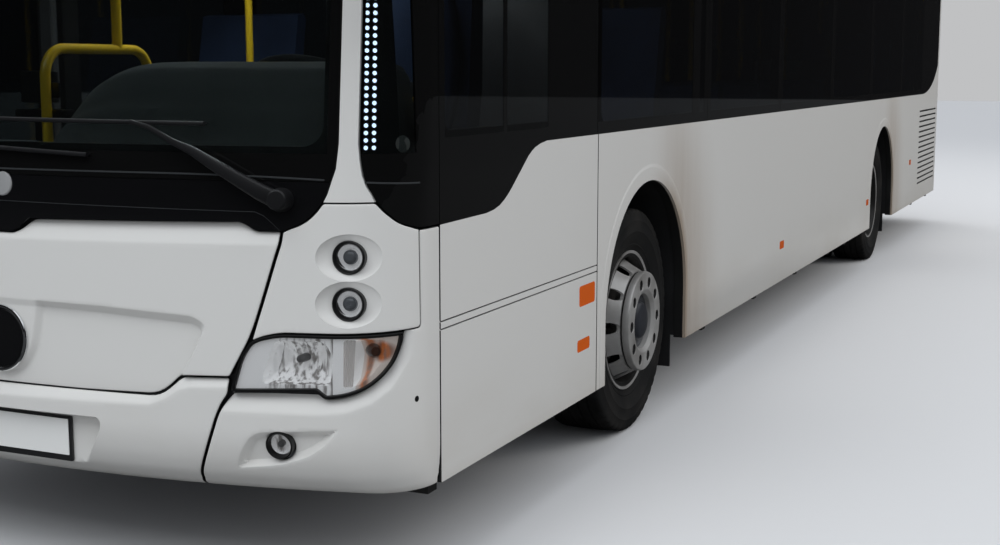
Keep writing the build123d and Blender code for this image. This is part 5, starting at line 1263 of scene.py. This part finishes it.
def tyreProfile():
    # (radius, across) rows over the tread, from one bead to the other
    settings = tyreSettings
    tread = []
    for centre in reversed(settings["grooves"]):
        half, deep, slope = settings["grooveHalf"], settings["groove"], settings["grooveSlope"]
        tread += [(0, centre + half + slope), (deep, centre + half - 1.5 * slope),
                  (deep, centre - half + 1.5 * slope), (0, centre - half - slope)]
    crown = [(settings["radius"] - settings["crown"] * (across / settings["crownAt"]) ** 2 - deep, across)
             for deep, across in tread]
    outer = tyreSide + [settings["edge"]]
    return outer + crown + [(radius, -across) for radius, across in reversed(outer)]


def tyrePoints(x, y):
    # the profile turned about the axle; notches lower the shoulder between blocks
    settings = tyreSettings
    radius, across = np.array(tyreProfile()).T[:, :, None]
    turns = np.linspace(0, 2 * np.pi, settings["around"], endpoint=False)
    wave = np.floor(turns / (2 * np.pi) * settings["notches"] * 4) % 4 == 0
    radius = radius - settings["notch"] * wave * ((radius > settings["shoulder"][0])
                                                  & (np.abs(across) > settings["shoulder"][1]))
    rows = x + radius * np.sin(turns), y + across + 0 * radius, wheelHeight + radius * np.cos(turns)
    return np.stack(rows, -1).reshape(-1, 3)


tyreRows = [("tyre_front_left", "front_left_wheel", axles["front"], (wheelMiddle,)),
            ("tyre_front_right", "front_right_wheel", axles["front"], (-wheelMiddle,)),
            ("tyre_rear_left", "rear_left_wheels", axles["rear"], (twinInner, wheelMiddle)),
            ("tyre_rear_right", "rear_right_wheels", axles["rear"], (-twinInner, -wheelMiddle))]
tyreRings = len(tyreProfile())
for tyreNode, wheelBody, tyreX, tyreYs in tyreRows:
    ringPoints = np.concatenate([tyrePoints(tyreX, tyreY) for tyreY in tyreYs])
    ringFaces = []
    for start in range(0, len(ringPoints), tyreRings * tyreSettings["around"]):
        ringFaces += gridFaces(tyreRings, tyreSettings["around"], start, around=True)
    tyre = addMesh(tyreNode + "Tread", ringPoints, ringFaces, tyreRubber, wheelBody)
    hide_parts(tyreNode)
print("tyres")

# Wheel details: a ring with openings over the front nuts, black painted shade in the openings and behind the
# ring, nuts and studs, hub caps
ringSettings = {"outer": 0.212, "rimWidth": 0.006, "inner": 0.132, "bevel": 0.004, "high": 0.188,
                "hole": 0.0235, "narrow": 0.92, "holeSteps": 28, "innerSteps": 120, "outerSteps": 240}
nutSettings = {"circle": 0.1675, "count": 10}


def nutPlaces(turn=0.0):
    # (a, b) places round the nut circle, turned by a share of the pitch
    turns = 2 * np.pi * (np.arange(nutSettings["count"]) + turn) / nutSettings["count"]
    return nutSettings["circle"] * np.stack([np.cos(turns), np.sin(turns)], 1)


def ringFace():
    # the ring's flat face: triangles between its outer circle, its inner circle and the round openings
    settings = ringSettings
    outer = circleOutline(0, 0, settings["outer"] - settings["rimWidth"], settings["outerSteps"])
    holes = [circleOutline(0, 0, settings["inner"] + settings["bevel"], settings["innerSteps"])]
    narrow = settings["hole"] * settings["narrow"]
    holes += [circleOutline(a, b, narrow, settings["holeSteps"], settings["hole"]) for a, b in nutPlaces()]
    links, base = [], 0
    for loop in [outer] + holes:
        links += ringLinks(base, len(loop))
        base += len(loop)
    flat, triangles = triangulated(np.concatenate([outer] + holes), links, outer, holes)
    return flat, triangles, holes


def frontCover(side):
    # face, bevelled middle, and the walls of the openings: each hole's outline grows and sinks row by row
    flat, faces, holes = ringFace()
    high = ringSettings["high"]

    def solid(points, height):
        # (across, up) points of the wheel's plane at a height outward from its middle
        return np.stack([axles["front"] + points[:, 0], np.full(len(points), side * (wheelMiddle + height)),
                         wheelHeight + points[:, 1]], -1)

    blocks, quads, start = [solid(flat, high)], list(faces), len(flat)
    middleWall = ((0.003, -0.004), (0.012, -0.018), (0.036, -0.020))
    holeWall = ((0.0015, -0.001), (0.004, -0.0015), (0.034, -0.0015))
    for loop, wall in [(holes[0], middleWall)] + [(hole, holeWall) for hole in holes[1:]]:
        outward = loop - loop.mean(0)
        outward /= np.linalg.norm(outward, axis=1)[:, None]
        blocks += [solid(loop, high)] + [solid(loop + grow * outward, high - drop) for drop, grow in wall]
        quads += gridFaces(len(wall) + 1, len(loop), start, around=True)
        start += (len(wall) + 1) * len(loop)
    return np.concatenate(blocks), quads, len(faces) + len(middleWall) * len(holes[0])


def hubPlaces(axle, side, turn):
    # (point, outward) of each nut
    return [((axle + a, side * wheelMiddle, wheelHeight + b), (0, side, 0)) for a, b in nutPlaces(turn)]


ringRim = [(0.186, 0.156), (0.208, 0.1565), (0.2115, 0.161), (0.2125, 0.170), (0.2120, 0.180),
           (0.2095, 0.1865), (0.206, 0.188)]
frontNut = [(0.0145, 0.152), (0.0145, 0.172), (0.0125, 0.175), (0.0085, 0.175), (0.0085, 0.181),
            (0.006, 0.182), (0, 0.182)]
rearNut = [(0.0185, -0.145), (0.0185, -0.118), (0.016, -0.115), (0.0105, -0.115), (0.0105, -0.092),
           (0, -0.090)]
hubCap = [(0.120, 0.1545), (0.112, 0.157), (0.084, 0.159), (0.078, 0.170), (0.070, 0.178), (0.056, 0.1825),
          (0.030, 0.184), (0, 0.1845)]
for side, sideName, bodyName in ((1, "Left", "front_left_wheel"), (-1, "Right", "front_right_wheel")):
    points, faces, firstWall = frontCover(side)
    ringName = "frontRing" + sideName
    ring = addMesh(ringName, points, faces, wheelSilver, bodyName)
    ring.data.materials.append(chassisBlack)
    walls = np.arange(len(faces)) - firstWall  # of each opening's three rows of faces the first stays silver, the others take chassis black as painted shade
    dark = (walls >= 0) & (walls % (3 * ringSettings["holeSteps"]) >= ringSettings["holeSteps"])
    ring.data.polygons.foreach_set("material_index", dark.astype(np.int32))
    hub = [((axles["front"], side * wheelMiddle, wheelHeight), (0, side, 0))]
    turned(ringName + "Rim", ringRim, hub, wheelSilver, bodyName, steps=120)
    # a flat black ring behind the front ring: painted shade in the gap between disc and ring
    turned(ringName + "Dark", [(0.209, 0.1525), (0.114, 0.1535)], hub, chassisBlack, bodyName, steps=60)
    turned(ringName + "Nuts", frontNut, hubPlaces(axles["front"], side, 0), axleGrey, bodyName, steps=6)
    turned(ringName + "Cap", hubCap, hub, hubDark, bodyName, steps=72)
for side, sideName, bodyName in ((1, "Left", "rear_left_wheels"), (-1, "Right", "rear_right_wheels")):
    turned("rearNuts" + sideName, rearNut, hubPlaces(axles["rear"], side, 0.5), axleGrey, bodyName, steps=6)
print("wheel details")

# Camera where the photographer stood
cameraSettings = {"place": (9.0215, 3.1205, 1.5495), "yaw": 0.42155, "pitch": 0.14433, "lens": 50.85,
                  "film": 36, "farthest": 200}
cameraData = bpy.data.cameras.new("camera")
cameraData.lens, cameraData.sensor_width = cameraSettings["lens"], cameraSettings["film"]
cameraData.clip_end = cameraSettings["farthest"]
camera = bpy.data.objects.new("camera", cameraData)
scene.collection.objects.link(camera)
yaw, pitch = cameraSettings["yaw"], cameraSettings["pitch"]
look = Vector((-math.cos(yaw) * math.cos(pitch), -math.sin(yaw) * math.cos(pitch), -math.sin(pitch)))
right = Vector((-math.sin(yaw), math.cos(yaw), 0))
turn = Matrix((right, right.cross(look), -look)).transposed()
camera.matrix_world = Matrix.Translation(cameraSettings["place"]) @ turn.to_4x4()
scene.camera = camera

# Studio: a pale floor and backdrop that stay dim in glass and in shadow
floorSettings = {"half": 60, "rough": 0.7, "camera": (0.70, 0.70, 0.705), "diffuse": (0.36, 0.36, 0.36),
                 "glossy": (0.012, 0.012, 0.012), "through": (0.07, 0.07, 0.07)}
floorPale = newMaterial("floorPale", floorSettings["camera"], rough=floorSettings["rough"])
floorGraph = Graph(floorPale)
floorGraph.put(floorGraph.byRay(floorSettings["camera"], [
    ("Is Diffuse Ray", floorSettings["diffuse"]), ("Is Glossy Ray", floorSettings["glossy"]),
    ("Is Transmission Ray", floorSettings["through"])]), floorGraph.sockets["Base Color"])
floorMesh = bpy.data.meshes.new("studioFloor")
floorHalf = floorSettings["half"]
floorMesh.from_pydata([(-floorHalf, -floorHalf, 0), (floorHalf, -floorHalf, 0), (floorHalf, floorHalf, 0),
                       (-floorHalf, floorHalf, 0)], [], [(0, 1, 2, 3)])
floorMesh.materials.append(floorPale)
studioFloor = bpy.data.objects.new("studioFloor", floorMesh)
scene.collection.objects.link(studioFloor)

worldSettings = {"strength": 0.85, "camera": (0.62, 0.625, 0.635), "through": (0.012, 0.013, 0.015),
                 "light": ((0.44, 0.455, 0.48), (1.10, 1.15, 1.22)), "lightRise": (-0.1, 0.9),
                 "mirror": ((0.012, 0.012, 0.013), (0.85, 0.88, 0.92)), "mirrorRise": (0.30, 0.75)}
world = bpy.data.worlds.new("studio")
world.use_nodes = True
sky = Graph(world, "Background", "Generated")
x, y, z = sky.axes()
light = sky.mix(sky.ramp(z, *worldSettings["lightRise"], shape="LINEAR"), *worldSettings["light"])
mirror = sky.mix(sky.ramp(z, *worldSettings["mirrorRise"]), *worldSettings["mirror"])
sky.put(sky.byRay(worldSettings["camera"], [
    ("Is Diffuse Ray", light), ("Is Glossy Ray", mirror),
    ("Is Transmission Ray", worldSettings["through"])]), sky.sockets["Color"])
sky.put(worldSettings["strength"], sky.sockets["Strength"])
scene.world = world

lampRows = [  # name, place, target, size, power, colour
    ("keyLamp", (10, 7, 9), (3, 1, 1), 8, 118, (0.97, 0.99, 1.0)),
    ("frontLamp", (13, 0, 10), (5, 0, 1), 7, 430, (0.93, 0.97, 1.0)),
    ("sideLamp", (-6, 12, 7), (-2.5, 1, 1), 9, 640, (1.0, 0.97, 0.93)),
    ("backLamp", (-13, -8, 8), (-3, 0, 1), 8, 330, (1.0, 1.0, 1.0)),
    ("cabinLamp", (4.4, 0, 2.5), (4.6, 0, 1), 1.2, 26, (0.92, 0.97, 1.0)),
]
for lampName, place, target, size, power, lampColor in lampRows:
    lampData = bpy.data.lights.new(lampName, "AREA")
    lampData.energy, lampData.size, lampData.color = power, size, lampColor
    lamp = bpy.data.objects.new(lampName, lampData)
    scene.collection.objects.link(lamp)
    lamp.location = place
    lamp.rotation_mode = "QUATERNION"
    lamp.rotation_quaternion = (Vector(target) - Vector(place)).to_track_quat("-Z", "Y")
    lamp.visible_glossy = False
scene.view_settings.view_transform = "Standard"
print("studio")
